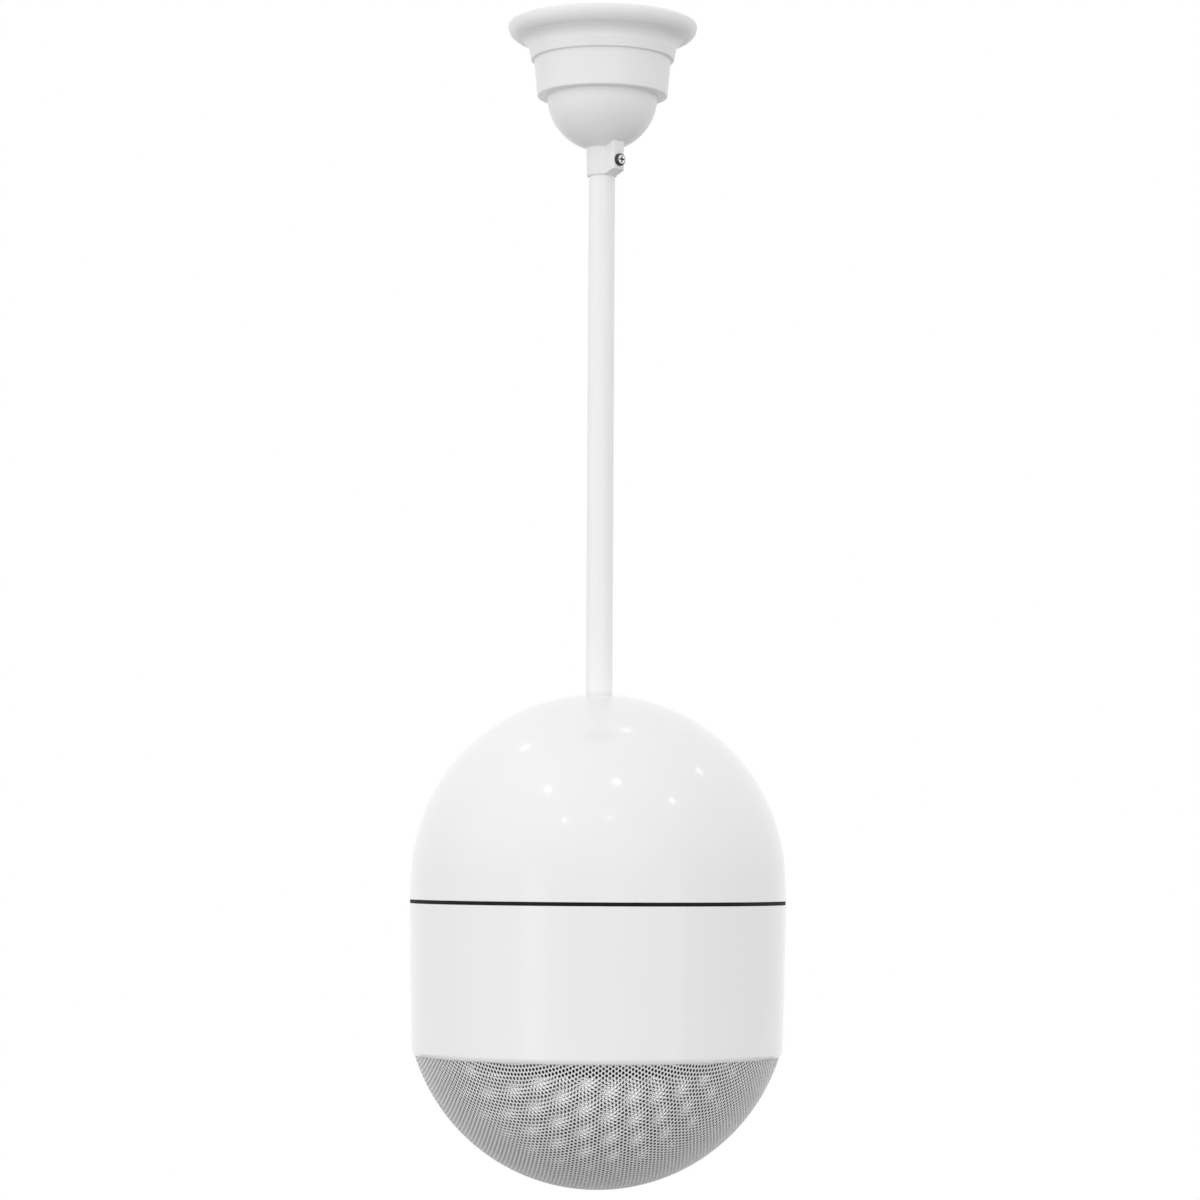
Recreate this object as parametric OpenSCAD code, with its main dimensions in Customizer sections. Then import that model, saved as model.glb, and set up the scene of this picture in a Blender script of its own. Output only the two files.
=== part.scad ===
// Pendant loudspeaker for a ceiling: a stepped canopy, a stem tube and a round housing
// whose lower half is a perforated metal dome. Millimetres, +Z up.
// The origin is the centre of the ceiling plane, and the housing hangs below it.
// The clamp screw of the canopy faces the front (-Y) and right (+X) quarter.

/* [Suspension] */
// Distance from the ceiling down to the top of the dome
drop = 408.2; // [340:0.1:480]
// Outer diameter of the stem tube
tube_d = 16; // [15:0.1:16.4]
// Wall of the stem tube
tube_wall = 1.5; // [1:0.1:2]
// Play between the tube and the canopy's collar, on the radius
collar_play = 0.3; // [0.25:0.05:0.5]
// Play between the tube and the parts fixed on it, on the radius
tube_play = 0.1; // [0.05:0.05:0.2]

/* [Canopy] */
// Largest radius of the rolled rim
rim_r = 57.4; // [55:0.1:60]
// Height of the rolled rim
rim_h = 10.2; // [9:0.1:11]
// Radius of the rim's upper edge rounding
rim_edge_r = 2.4; // [1.5:0.1:3]
// Radius of the cove under the rim
cove_r = 7.1; // [5:0.1:8]
// How far the ridge's lower edge lies inside the rim
rim_step = 13.9; // [12.5:0.1:14.5]
// Depth of the ridge's lower edge below the ceiling
ridge_z = 23; // [21:0.1:24]
// How far the tapered band's top lies inside the ridge's lower edge
ridge_step = 2; // [1.5:0.1:2.5]
// How much the band narrows on the radius
band_taper = 1.9; // [0:0.1:3]
// Depth of the band's lower edge below the ceiling
band_z = 45.3; // [43:0.1:48]
// How far the bowl lies inside the band's lower edge
bowl_step = 6.1; // [4.5:0.1:7.5]
// Depth of the bowl's centre below the ceiling
bowl_z = 44.7; // [42:0.1:46]
// Wall of the canopy
canopy_wall = 2.2; // [1.8:0.1:2.6]
// Height of the collar below the bowl
collar_h = 16; // [14:0.1:20]
// Wall of the collar at its lower end
collar_wall = 0.8; // [0.7:0.1:1.6]
// How much the collar widens towards the bowl, on the radius
collar_taper = 0.4; // [0:0.1:1]

/* [Clamp screw] */
// Direction of the clamp screw, from +X
clamp_az = -48; // [-90:1:0]
// Radius of the clamp boss's end face
clamp_r = 15.5; // [14.5:0.1:18]
// Width of the clamp boss
clamp_w = 9.6; // [9:0.1:12]
// Height of the clamp screw above the collar's lower end
clamp_up = 8.4; // [7:0.1:9]
// Diameter of the clamp screw's shank
clamp_screw_d = 3.9; // [3:0.1:4]
// Diameter of the clamp screw's head
clamp_head_d = 7.5; // [7:0.1:8]
// Height of the clamp screw's head
clamp_head_h = 2.4; // [2:0.1:3]
// Outer diameter of the brass insert
insert_d = 5.6; // [5.4:0.1:6]

/* [Ceiling bracket] */
// How far the bracket's ends lie inside the canopy's rim
bracket_gap = 11.4; // [10:0.1:13]
// Width of the strap
bracket_w = 26; // [24:1:28]
// Sheet of the strap
bracket_t = 2; // [1.5:0.1:2.5]
// Half the width of the drop in the middle
saddle_half = 18; // [17:0.5:19]
// Depth of the drop in the middle
saddle_z = 24; // [22:0.5:26]
// Distance of each ceiling screw hole from the bracket's end
ceiling_hole_in = 7.5; // [6:0.5:8]
// Diameter of the ceiling screw holes
ceiling_hole_d = 5.2; // [4:0.1:5.4]
// Width across the flats of the tube's nuts
tube_nut_af = 24; // [22:0.5:26]
// Height of the tube's nuts
tube_nut_h = 5; // [4:0.5:6]
// Outer diameter of the tube's washers
tube_washer_d = 26; // [25:0.5:27]

/* [Terminal block] */
// Length of the block across the ways
block_l = 27.2; // [27:0.1:29]
// Depth of the block along the ways
block_w = 12.5; // [11:0.1:13]
// Height of the block
block_h = 13; // [12:0.1:14]
// Places of the ways from the middle of the block
block_ways = [-10.6, -4.6, 4.6, 10.6];

/* [Housing] */
// Radius of the upper shell's dome
dome_r = 112.2; // [110:0.1:116]
// Height of the straight lip under the dome
lip_h = 11; // [8:0.5:14]
// How much wider the housing is at the seam than the dome, on the radius
seam_flare = 0.45; // [0:0.05:1.5]
// Wall of both shells
shell_wall = 2.8; // [2.4:0.1:3]
// Thickness of the black seal in the seam
seal_t = 2.2; // [1.5:0.1:3]
// How far the seal sits behind the shells
seal_back = 0.4; // [0:0.1:1]
// Height of the lower shell
lower_h = 89.7; // [84:0.1:100]
// How much the lower shell narrows to its bottom, on the radius
lower_taper = 1.85; // [0.5:0.05:2]
// Radius of the lower shell's bottom edge rounding
lower_edge_r = 4.2; // [3:0.1:5]
// Radius of the four housing pillars
pillar_r = 6.2; // [6:0.1:6.5]
// Gap between a housing pillar and the wall
pillar_gap = 3.95; // [3.5:0.05:4.5]
// Diameter of the housing screws
housing_screw_d = 3.9; // [3:0.1:4]

/* [Baffle] */
// Height of the baffle's underside above the shell's bottom edge
baffle_up = 6.3; // [5.5:0.1:8]
// Thickness of the baffle
baffle_t = 2.8; // [2.5:0.1:3.5]
// Gap between the pillars and the baffle's dished middle
dish_gap = 1.3; // [0.5:0.1:2]
// How far the dished middle hangs below the rest of the baffle
dish_drop = 8; // [6:0.5:10]

/* [Grille] */
// How far the perforated dome's edge lies inside the lower shell's wall
grille_step = 2.05; // [1.9:0.05:2.6]
// Depth of the perforated dome
grille_depth = 79.7; // [70:0.1:90]
// Sheet of the grille
grille_t = 0.8; // [0.6:0.1:1.2]
// Spacing of the perforations that are modelled
hole_pitch = 13; // [12.5:0.5:16]
// Diameter of the perforations that are modelled
hole_d = 8.2; // [5:0.1:9]
// Width of the grille's inturned flange
grille_flange_w = 4.9; // [3.5:0.1:5.2]

/* [Driver] */
// Gap between the basket's flange and the dish's wall
basket_gap = 8.5; // [7:0.5:9]
// Width of the basket's flange outside the baffle's opening
basket_flange_w = 9.1; // [8.5:0.1:9.5]
// Distance of the driver's screws from the flange's edge
driver_screw_in = 4.7; // [4.2:0.1:5]
// Diameter of the driver's screws
driver_screw_d = 3.9; // [3:0.1:4]
// Sheet of the basket
basket_t = 1.2; // [1:0.1:1.5]
// Depth of the basket from its flange to the spider's ledge
basket_deep = 31; // [30:0.5:33]
// Width of the ring on the surround's edge
front_ring_w = 4.8; // [4:0.1:5.5]
// Radius of the surround's roll
roll_r = 4.5; // [4:0.1:4.8]
// Radius of the voice coil former's inside
former_r = 12.75; // [12.7:0.05:13]
// Radius of the pole piece
pole_r = 12.35; // [12:0.05:12.4]
// Radius of the gap's outer wall
gap_r = 14; // [14:0.05:14.4]
// Outer radius of the magnet
magnet_r = 45; // [42:0.5:47]
// Thickness of the magnet
magnet_t = 15; // [12:0.5:18]
// Outer radius of both steel plates
plate_r = 40; // [38:0.5:41]
// Thickness of both steel plates
plate_t = 6; // [5:0.5:7]

/* [Transformer] */
// Width of the core
core_w = 48; // [46:1:48]
// Height of the core
core_h = 40; // [38:1:44]
// Stack of the core
core_t = 16; // [14:1:18]
// Distance of the core's middle from the lower shell's wall
core_in = 18.65; // [17.5:0.05:19.5]
// Width of the core's middle leg
core_leg = 16; // [15:0.5:16]

/* [Hidden] */

// Points round a circle are only for shapes that the finished piece shows as a curve
$fn = 96;
// A cut reaches this far past the surface it opens
past = 1;

ridge_r = rim_r - rim_step;
band_r = ridge_r - ridge_step;
bowl_r = band_r - band_taper - bowl_step;
collar_z = bowl_z + bowl_r + collar_h;
clamp_z = collar_z - clamp_up;
bracket_l = 2 * (rim_r - bracket_gap);
ceiling_pitch = bracket_l - 2 * ceiling_hole_in;
tube_r = tube_d / 2;
tube_top_z = -9;
tube_washer_t = 1;
collar_bore_r = tube_r + collar_play;
tube_hole_r = tube_r + tube_play;
bull_r = rim_h - rim_edge_r;
ridge_top_r = ridge_r + 1.1;
band_edge_r = 1;
collar_edge = 0.5;
insert_in_r = tube_r + 1.2;
insert_play = 0.05;
insert_bore_d = clamp_screw_d + 0.1;
clamp_tip_gap = 0.3;

block_x = saddle_half + 2.5 + block_w / 2;
block_low_z = -bracket_t - block_h;
block_screw_r = 1.45;
way_z = -bracket_t - block_h / 2 - 1;
way_screw_r = 1.15;
way_screw_x = 3.4;
sleeve_r = 2.1;
sleeve_bore_r = 1.35;
sleeve_l = block_w - 1.5;

dome_z = -drop - dome_r;
lip_z = dome_z - lip_h;
seal_z = lip_z - seal_t;
bottom_z = seal_z - lower_h;
seam_r = dome_r + seam_flare;
lower_r = seam_r - lower_taper;
wall_low_r = lower_r - shell_wall;
grille_r = lower_r - grille_step;
grille_flange_r = grille_r - grille_flange_w;
grille_inner_play = 0.15;
baffle_z = bottom_z + baffle_up;
baffle_top_z = baffle_z + baffle_t;
seat_z = baffle_z - dish_drop;

apex_boss_r = 34;
apex_boss_z = -drop - 11;
flange_r = 30;
flange_t = 4;
flange_hub_r = 14;
flange_hub_h = 14.5;
flange_z = apex_boss_z - flange_t;
hub_z = flange_z - flange_hub_h;
flange_screw_c = 22.5;
tube_bottom_z = hub_z - tube_nut_h - 9;

pillar_c = wall_low_r - pillar_gap - pillar_r;
pillar_z = lip_z + 2;
pillar_seat_z = pillar_z - 10;
housing_screw_l = 25;
spigot_out_r = seam_r - shell_wall - 0.4;
spigot_in_r = spigot_out_r - 2.8;
spigot_top_z = lip_z + 6;

grille_sphere_r = (grille_r * grille_r + grille_depth * grille_depth) / (2 * grille_depth);
grille_z = bottom_z - grille_depth + grille_sphere_r;
grille_edge_a = asin(grille_r / grille_sphere_r);
// Places of the perforations on the flat sheet, in a triangular lattice
hole_rows = ceil(grille_r / hole_pitch) + 1;
hole_places = [
  for (i = [-hole_rows:hole_rows], j = [-hole_rows:hole_rows])
    let (x = (i + j / 2) * hole_pitch, y = j * hole_pitch * sqrt(3) / 2)
    if (norm([x, y]) < grille_r - hole_d / 2 - 1.5)
      [norm([x, y]), atan2(y, x)]
];
clip_t = 0.6;
clip_w = 8;
clip_r = grille_flange_r - 1.5;
clip_az = -26;

dish_r = pillar_c - pillar_r - dish_gap;
basket_r = dish_r - basket_gap;
cutout_r = basket_r - basket_flange_w;
driver_screw_c = basket_r - driver_screw_in;
ring_in_r = cutout_r - front_ring_w;
surround_out_r = cutout_r - 0.8;
roll_play = 0.6;
cone_seat = 0.5;
cone_r = ring_in_r - roll_play - 2 * roll_r - cone_seat;
gasket_t = 1;
flange_low_z = seat_z - gasket_t - basket_t;
surround_t = 0.6;
front_ring_h = 5;
ledge_z = flange_low_z + basket_deep;
basket_neck_r = 38;
basket_neck_h = 9;
basket_eye_r = 16;
basket_window_w = 28;
basket_floor_z = ledge_z + basket_neck_h;
cone_t = 0.6;
cone_neck_z = ledge_z - 3.8;
former_t = 0.3;
former_out_r = former_r + former_t;
coil_t = 0.5;
glue_play = 0.05;
front_plate_z = basket_floor_z;
magnet_z = front_plate_z + plate_t;
back_plate_z = magnet_z + magnet_t;
former_low_z = cone_neck_z - 4;
former_top_z = front_plate_z + plate_t + 4;

tag_az = 0;
tag_rivet_r = 1.2;
tag_board_z = ledge_z + basket_t;
tag_board_t = 1.5;
tag_t = 0.8;

core_y = wall_low_r - core_in;
core_z = baffle_top_z;
frame_t = 1.2;
frame_w = 12;
frame_foot = 10;
foot_x = core_w / 2 + frame_t + frame_foot / 2;
winding_w = 2 * core_leg - 1;
winding_y = core_t + 14;
winding_h = core_h - core_leg;

// A screw with a pan head, pointing along +Z: the head's seat is at 0 and its top is below
module pan_screw(d, length, head_d, head_h) {
  edge = head_h * 0.55;
  difference() {
    union() {
      cylinder(r = d / 2, h = length, $fn = 32);
      rotate_extrude($fn = 48)
        polygon(concat(
          [[0, 0], [head_d / 2, 0]],
          arc([head_d / 2 - edge, -(head_h - edge)], edge, 0, -90, 4),
          [[0, -head_h]]
        ));
    }
    cross_slot(head_d, head_h);
  }
}

// The cross recess of a pan head
module cross_slot(head_d, head_h) {
  slot_w = head_d * 0.13;
  slot_l = head_d * 0.55;
  slot_deep = head_h * 0.6;
  for (turn = [0, 90])
    rotate([0, 0, turn])
      translate([-slot_l / 2, -slot_w / 2, -head_h - past])
        cube([slot_l, slot_w, slot_deep + past]);
}

// Points on an arc from angle a0 to a1, in a number of equal steps
function arc(centre, r, a0, a1, steps) = [
  for (i = [0:steps])
    let (a = a0 + (a1 - a0) * i / steps)
    [centre[0] + r * cos(a), centre[1] + r * sin(a)]
];

// A flat ring between two heights
module ring(r_in, r_out, z_low, z_high) {
  difference() {
    translate([0, 0, z_low])
      cylinder(r = r_out, h = z_high - z_low);
    translate([0, 0, z_low - past])
      cylinder(r = r_in, h = z_high - z_low + 2 * past);
  }
}

// A hex nut with its lower face at z
module nut(z, af, h, bore_r) {
  translate([0, 0, z])
    difference() {
      cylinder(r = af / 2 / cos(30), h = h, $fn = 6);
      translate([0, 0, -past])
        cylinder(r = bore_r, h = h + 2 * past);
    }
}

// Copies its children to equally spaced places round the axis
module around(count, r, start = 0) {
  for (i = [0:count - 1])
    rotate([0, 0, start + i * 360 / count])
      translate([r, 0, 0])
        children();
}

// The bracket's outline seen from the front, with bends of a given outer radius
function strap_outline() =
  let (w = bracket_t, half = bracket_l / 2, s = saddle_half, d = saddle_z, b = 2.5 + w)
  concat(
    [[half, 0]],
    [[half, -w]],
    arc([s + b - w, -b], b - w, 90, 180, 4),
    arc([s - b, -d + b], b, 0, -90, 4),
    arc([-s + b, -d + b], b, -90, -180, 4),
    arc([-s - b + w, -b], b - w, 0, 90, 4),
    [[-half, -w], [-half, 0]],
    arc([-s + w - b, -b], b, 90, 0, 4),
    arc([-s + b, -d + b], b - w, 180, 270, 4),
    arc([s - b, -d + b], b - w, -90, 0, 4),
    arc([s - w + b, -b], b, 180, 90, 4)
  );

// Folded steel strap that is screwed to the ceiling and carries the tube in its saddle
module ceiling_bracket() {
  color("silver")
    difference() {
      rotate([90, 0, 0])
        linear_extrude(height = bracket_w, center = true)
          polygon(strap_outline());
      for (side = [-1, 1])
        translate([side * ceiling_pitch / 2, 0, -bracket_t - past])
          cylinder(r = ceiling_hole_d / 2, h = bracket_t + 2 * past);
      translate([0, 0, -saddle_z - past])
        cylinder(r = tube_hole_r, h = bracket_t + 2 * past);
      translate([block_x, 0, -bracket_t - past])
        cylinder(r = block_screw_r + glue_play, h = bracket_t + 2 * past, $fn = 32);
    }
}

// Nuts above and below the saddle that hold the tube's threaded end
module tube_nuts() {
  color("gainsboro") {
    nut(-saddle_z + bracket_t + tube_washer_t, tube_nut_af, tube_nut_h, tube_hole_r);
    nut(-saddle_z - tube_washer_t - tube_nut_h, tube_nut_af, tube_nut_h, tube_hole_r);
  }
}

// Washers between the nuts and the saddle
module tube_washers() {
  color("silver") {
    ring(tube_hole_r, tube_washer_d / 2, -saddle_z + bracket_t, -saddle_z + bracket_t + tube_washer_t);
    ring(tube_hole_r, tube_washer_d / 2, -saddle_z - tube_washer_t, -saddle_z);
  }
}

// Four-way block under one wing of the bracket, where the building's cable is joined
module terminal_block() {
  color("ivory")
    difference() {
      translate([block_x - block_w / 2, -block_l / 2, block_low_z])
        cube([block_w, block_l, block_h]);
      for (y = block_ways) {
        translate([block_x - block_w / 2 - past, y, way_z])
          rotate([0, 90, 0])
            cylinder(r = sleeve_r + glue_play, h = block_w + 2 * past, $fn = 32);
        for (side = [-1, 1])
          translate([block_x + side * way_screw_x, y, block_low_z - past])
            cylinder(r = way_screw_r + 0.35, h = way_z - block_low_z + past, $fn = 32);
      }
      translate([block_x, 0, block_low_z - past])
        cylinder(r = block_screw_r + glue_play, h = block_h + 2 * past, $fn = 32);
    }
}

// Brass sleeves that clamp the wire ends
module terminal_sleeves() {
  color("gold")
    for (y = block_ways)
      translate([block_x - sleeve_l / 2, y, way_z])
        difference() {
          rotate([0, 90, 0])
            cylinder(r = sleeve_r, h = sleeve_l, $fn = 32);
          translate([-past, 0, 0])
            rotate([0, 90, 0])
              cylinder(r = sleeve_bore_r, h = sleeve_l + 2 * past, $fn = 32);
          for (side = [-1, 1])
            translate([sleeve_l / 2 + side * way_screw_x, 0, -sleeve_r - past])
              cylinder(r = way_screw_r + glue_play, h = sleeve_r + past, $fn = 32);
        }
}

// Two clamping screws in each sleeve
module terminal_screws() {
  screw_l = way_z - block_low_z - 1.6;
  color("silver")
    for (y = block_ways, side = [-1, 1])
      translate([block_x + side * way_screw_x, y, block_low_z + 1.2])
        difference() {
          cylinder(r = way_screw_r, h = screw_l, $fn = 32);
          translate([-way_screw_r - past, -0.2, -past])
            cube([2 * way_screw_r + 2 * past, 0.4, past + 0.7]);
        }
}

// Screw that holds the block, cut into the bracket's wing
module block_screw() {
  color("silver")
    translate([block_x, 0, block_low_z])
      pan_screw(2 * block_screw_r, block_h + bracket_t - 0.3, 5.2, 1.8);
}

// The canopy's outer outline, from the axis at the ceiling down to the collar's end
function canopy_outer() =
  let (
    cove_x = ridge_top_r + cove_r,
    cove_a = acos((rim_r - bull_r - cove_x) / cove_r),
    collar_low_r = collar_bore_r + collar_wall,
    collar_top_r = collar_low_r + collar_taper
  )
  concat(
    [[0, 0]],
    arc([rim_r - rim_edge_r, -rim_edge_r], rim_edge_r, 90, 0, 6),
    arc([rim_r - bull_r, -rim_edge_r], bull_r, -9, -90, 9),
    arc([cove_x, -rim_h - cove_r], cove_r, cove_a, 180, 8),
    [[ridge_r, -ridge_z + 0.4], [ridge_r - 0.4, -ridge_z]],
    [[band_r, -ridge_z]],
    arc([band_r - band_taper - band_edge_r, -band_z + band_edge_r], band_edge_r, 0, -90, 4),
    arc([0, -bowl_z], bowl_r, -asin((band_z - bowl_z) / bowl_r), -acos(collar_top_r / bowl_r), 18),
    [[collar_low_r, -collar_z + collar_edge], [collar_low_r - collar_edge, -collar_z]],
    [[0, -collar_z]]
  );

// The canopy's hollow, open at the ceiling and through the collar
function canopy_inner() =
  let (
    w = canopy_wall,
    rim_in_r = rim_r - rim_edge_r - 0.6,
    cove_x = ridge_top_r + cove_r,
    cove_a = acos((rim_r - bull_r - cove_x) / (cove_r + w)),
    in_r = bowl_r - w
  )
  concat(
    [[0, past], [rim_in_r, past]],
    arc([rim_r - bull_r, -rim_edge_r], rim_in_r - rim_r + bull_r, 0, -90, 8),
    arc([cove_x, -rim_h - cove_r], cove_r + w, cove_a, 180, 8),
    [[ridge_r - w, -ridge_z + w], [band_r - w, -ridge_z + w]],
    [[band_r - w - band_taper, -band_z + w]],
    arc([0, -bowl_z], in_r, asin((w - band_z + bowl_z) / in_r), -acos(collar_bore_r / in_r), 18),
    [[collar_bore_r, -collar_z - past], [0, -collar_z - past]]
  );

// The block on the collar that the clamp screw goes through, pointing along +X
module clamp_boss() {
  corner = 1.8;
  end_z = -collar_z + 0.6;
  intersection() {
    rotate([90, 0, 0])
      linear_extrude(height = clamp_w, center = true)
        polygon([
          [tube_r / 2, -bowl_z - bowl_r + 5],
          [clamp_r, -bowl_z - bowl_r + 5],
          [clamp_r, -collar_z + 3],
          [collar_bore_r + collar_wall, end_z],
          [tube_r / 2, end_z]
        ]);
    translate([0, 0, -collar_z - past])
      linear_extrude(height = collar_z)
        union() {
          translate([0, -clamp_w / 2])
            square([clamp_r - corner, clamp_w]);
          translate([0, -clamp_w / 2 + corner])
            square([clamp_r, clamp_w - 2 * corner]);
          for (side = [-1, 1])
            translate([clamp_r - corner, side * (clamp_w / 2 - corner)])
              circle(r = corner, $fn = 32);
        }
  }
}

// Stepped bell that covers the bracket and slides on the tube when its screw is loose
module canopy() {
  color("white")
    difference() {
      union() {
        rotate_extrude()
          polygon(canopy_outer());
        rotate([0, 0, clamp_az])
          clamp_boss();
      }
      rotate_extrude()
        polygon(canopy_inner());
      rotate([0, 0, clamp_az])
        translate([0, 0, -clamp_z])
          rotate([0, 90, 0]) {
            cylinder(r = clamp_screw_d / 2 + 0.2, h = clamp_r + past, $fn = 32);
            translate([0, 0, insert_in_r])
              cylinder(r = insert_d / 2 + insert_play, h = clamp_r, $fn = 32);
          }
    }
}

// Brass insert in the clamp boss
module canopy_insert() {
  color("gold")
    rotate([0, 0, clamp_az])
      translate([insert_in_r, 0, -clamp_z])
        rotate([0, 90, 0])
          difference() {
            cylinder(r = insert_d / 2, h = clamp_r - insert_in_r - 0.2, $fn = 32);
            translate([0, 0, -past])
              cylinder(r = insert_bore_d / 2, h = clamp_r, $fn = 32);
          }
}

// Chrome clamp screw, a hair off the tube
module canopy_screw() {
  color("lightgray")
    rotate([0, 0, clamp_az])
      translate([clamp_r, 0, -clamp_z])
        rotate([0, -90, 0])
          pan_screw(clamp_screw_d, clamp_r - tube_r - clamp_tip_gap, clamp_head_d, clamp_head_h);
}

// Steel tube from the bracket into the dome
module stem_tube() {
  color("white")
    ring(tube_r - tube_wall, tube_r, tube_bottom_z, tube_top_z);
}

// Plastic bush that keeps the tube's upper edge from the cable
module tube_bush() {
  sleeve_out_r = tube_r - tube_wall - glue_play;
  bush_bore_r = sleeve_out_r - 1.2;
  color("dimgray")
    difference() {
      union() {
        translate([0, 0, tube_top_z])
          cylinder(r = tube_r - 0.2, h = 1.5);
        translate([0, 0, tube_top_z - 6])
          cylinder(r = sleeve_out_r, h = 7);
      }
      translate([0, 0, tube_top_z - 6 - past])
        cylinder(r = bush_bore_r, h = 8 + 2 * past);
    }
}

// Hollow of the upper shell
module upper_hollow() {
  intersection() {
    translate([0, 0, dome_z])
      sphere(r = dome_r - shell_wall, $fn = 128);
    translate([0, 0, dome_z])
      cylinder(r = dome_r, h = dome_r);
  }
  translate([0, 0, lip_z])
    cylinder(r1 = seam_r - shell_wall, r2 = dome_r - shell_wall, h = lip_h);
  translate([0, 0, lip_z - past])
    cylinder(r = seam_r - shell_wall, h = past);
}

// Glossy upper half of the housing, with the tube's seat and four screw columns inside
module upper_shell() {
  color("white")
    difference() {
      union() {
        difference() {
          union() {
            intersection() {
              translate([0, 0, dome_z])
                sphere(r = dome_r, $fn = 128);
              translate([0, 0, dome_z])
                cylinder(r = dome_r + past, h = dome_r + past);
            }
            translate([0, 0, lip_z])
              cylinder(r1 = seam_r, r2 = dome_r, h = lip_h);
          }
          upper_hollow();
        }
        intersection() {
          translate([0, 0, dome_z])
            sphere(r = dome_r - shell_wall / 2, $fn = 128);
          union() {
            translate([0, 0, apex_boss_z])
              cylinder(r = apex_boss_r, h = dome_r);
            around(4, pillar_c, 45)
              translate([0, 0, pillar_z])
                cylinder(r = pillar_r, h = dome_r, $fn = 48);
          }
        }
      }
      translate([0, 0, apex_boss_z - past])
        cylinder(r = tube_hole_r, h = dome_r);
      around(4, flange_screw_c, 45)
        translate([0, 0, apex_boss_z - past])
          cylinder(r = 1.95 + glue_play, h = 6 + past, $fn = 32);
      around(4, pillar_c, 45)
        translate([0, 0, pillar_z - past])
          cylinder(r = housing_screw_d / 2 + glue_play, h = 18 + past, $fn = 32);
    }
}

// Cast flange on the tube's lower thread, screwed up into the dome
module tube_flange() {
  color("silver")
    difference() {
      union() {
        translate([0, 0, flange_z])
          cylinder(r = flange_r, h = flange_t);
        translate([0, 0, hub_z])
          cylinder(r1 = flange_hub_r - 1, r2 = flange_hub_r, h = flange_hub_h);
      }
      translate([0, 0, hub_z - past])
        cylinder(r = tube_hole_r, h = flange_hub_h + flange_t + 2 * past);
      around(4, flange_screw_c, 45)
        translate([0, 0, flange_z - past])
          cylinder(r = 2.2, h = flange_t + 2 * past, $fn = 32);
    }
}

// Four screws from the flange into the dome
module flange_screws() {
  color("silver")
    around(4, flange_screw_c, 45)
      translate([0, 0, flange_z])
        pan_screw(3.9, flange_t + 5, 7.6, 2.6);
}

// Nut that locks the flange on the tube
module tube_lock_nut() {
  color("gainsboro")
    nut(hub_z - tube_nut_h, tube_nut_af, tube_nut_h, tube_hole_r);
}

// Black seal between the shells
module seam_seal() {
  color("black")
    ring(spigot_out_r + 0.15, seam_r - seal_back, seal_z, lip_z);
}

// The lower shell's section, from the seam down to the baffle and the edge
function lower_section() =
  let (
    edge_a = acos(max(0, 1 - (grille_step - 0.6) / lower_edge_r))
  )
  concat(
    [[seam_r, seal_z]],
    arc([lower_r - lower_edge_r, bottom_z + lower_edge_r * sin(edge_a)], lower_edge_r, 0, -edge_a, 5),
    [[grille_r + grille_inner_play, bottom_z], [grille_r + grille_inner_play, baffle_z]],
    [[dish_r, baffle_z], [dish_r, seat_z], [cutout_r, seat_z]],
    [[cutout_r, seat_z + baffle_t], [dish_r - baffle_t, seat_z + baffle_t]],
    [[dish_r - baffle_t, baffle_top_z], [wall_low_r, baffle_top_z]],
    [[seam_r - shell_wall, seal_z - 4], [spigot_in_r, seal_z - 2.5], [spigot_in_r, spigot_top_z]],
    [[spigot_out_r, spigot_top_z], [spigot_out_r, seal_z]]
  );

// Lower half of the housing: wall, dished baffle, locating spigot and four pillars
module lower_shell() {
  rib_in = pillar_c + pillar_r - 2;
  rib_out = lower_r - 0.6;
  color("white")
    difference() {
      union() {
        rotate_extrude($fn = 128)
          polygon(lower_section());
        around(4, pillar_c, 45)
          translate([0, 0, baffle_z])
            cylinder(r = pillar_r, h = pillar_z - baffle_z, $fn = 48);
        around(4, 0, 45)
          translate([rib_in, -1.2, baffle_top_z - past])
            cube([rib_out - rib_in, 2.4, seal_z - 4 - baffle_top_z]);
        for (a = [-90, 0, 180])
          rotate([0, 0, a])
            translate([dish_r - baffle_t / 2, -1, baffle_top_z - past])
              cube([rib_out - dish_r, 2, past + 3]);
        around(4, driver_screw_c, 45)
          translate([0, 0, seat_z])
            cylinder(r = 4.2, h = 9, $fn = 32);
        for (side = [-1, 1])
          translate([side * foot_x, core_y + 2, baffle_z - 4])
            cylinder(r = 3.6, h = 4 + baffle_t, $fn = 32);
      }
      around(4, pillar_c, 45) {
        translate([0, 0, baffle_z - past])
          cylinder(r = pillar_r - 1.6, h = pillar_seat_z - baffle_z + past, $fn = 48);
        translate([0, 0, baffle_z])
          cylinder(r = 2.2, h = pillar_z - baffle_z + past, $fn = 32);
      }
      around(4, driver_screw_c, 45)
        translate([0, 0, seat_z - past])
          cylinder(r = driver_screw_d / 2 + glue_play, h = 8 + past, $fn = 32);
      for (side = [-1, 1])
        translate([side * foot_x, core_y + 2, baffle_z - 3])
          cylinder(r = 1.5, h = 4 + baffle_t, $fn = 32);
      around(4, 0, clip_az)
        translate([clip_r - 0.9, -clip_w / 2 - 0.5, baffle_z - past])
          cube([2.4, clip_w + 1, baffle_t + 2 * past]);
    }
}

// Screws up through the pillars into the upper shell's columns
module housing_screws() {
  color("silver")
    around(4, pillar_c, 45)
      translate([0, 0, pillar_seat_z])
        pan_screw(housing_screw_d, housing_screw_l, 7.6, 2.6);
}

// The flat sheet's lattice is pressed into a dome, so its radius becomes an angle from the pole
module grille_holes() {
  for (place = hole_places)
    rotate([0, 0, place[1]])
      translate([0, 0, grille_z])
        rotate([0, 180 - place[0] / grille_r * grille_edge_a, 0])
          translate([0, 0, grille_sphere_r - 4])
            cylinder(r = hole_d / 2, h = 8, $fn = 24);
}

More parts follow.
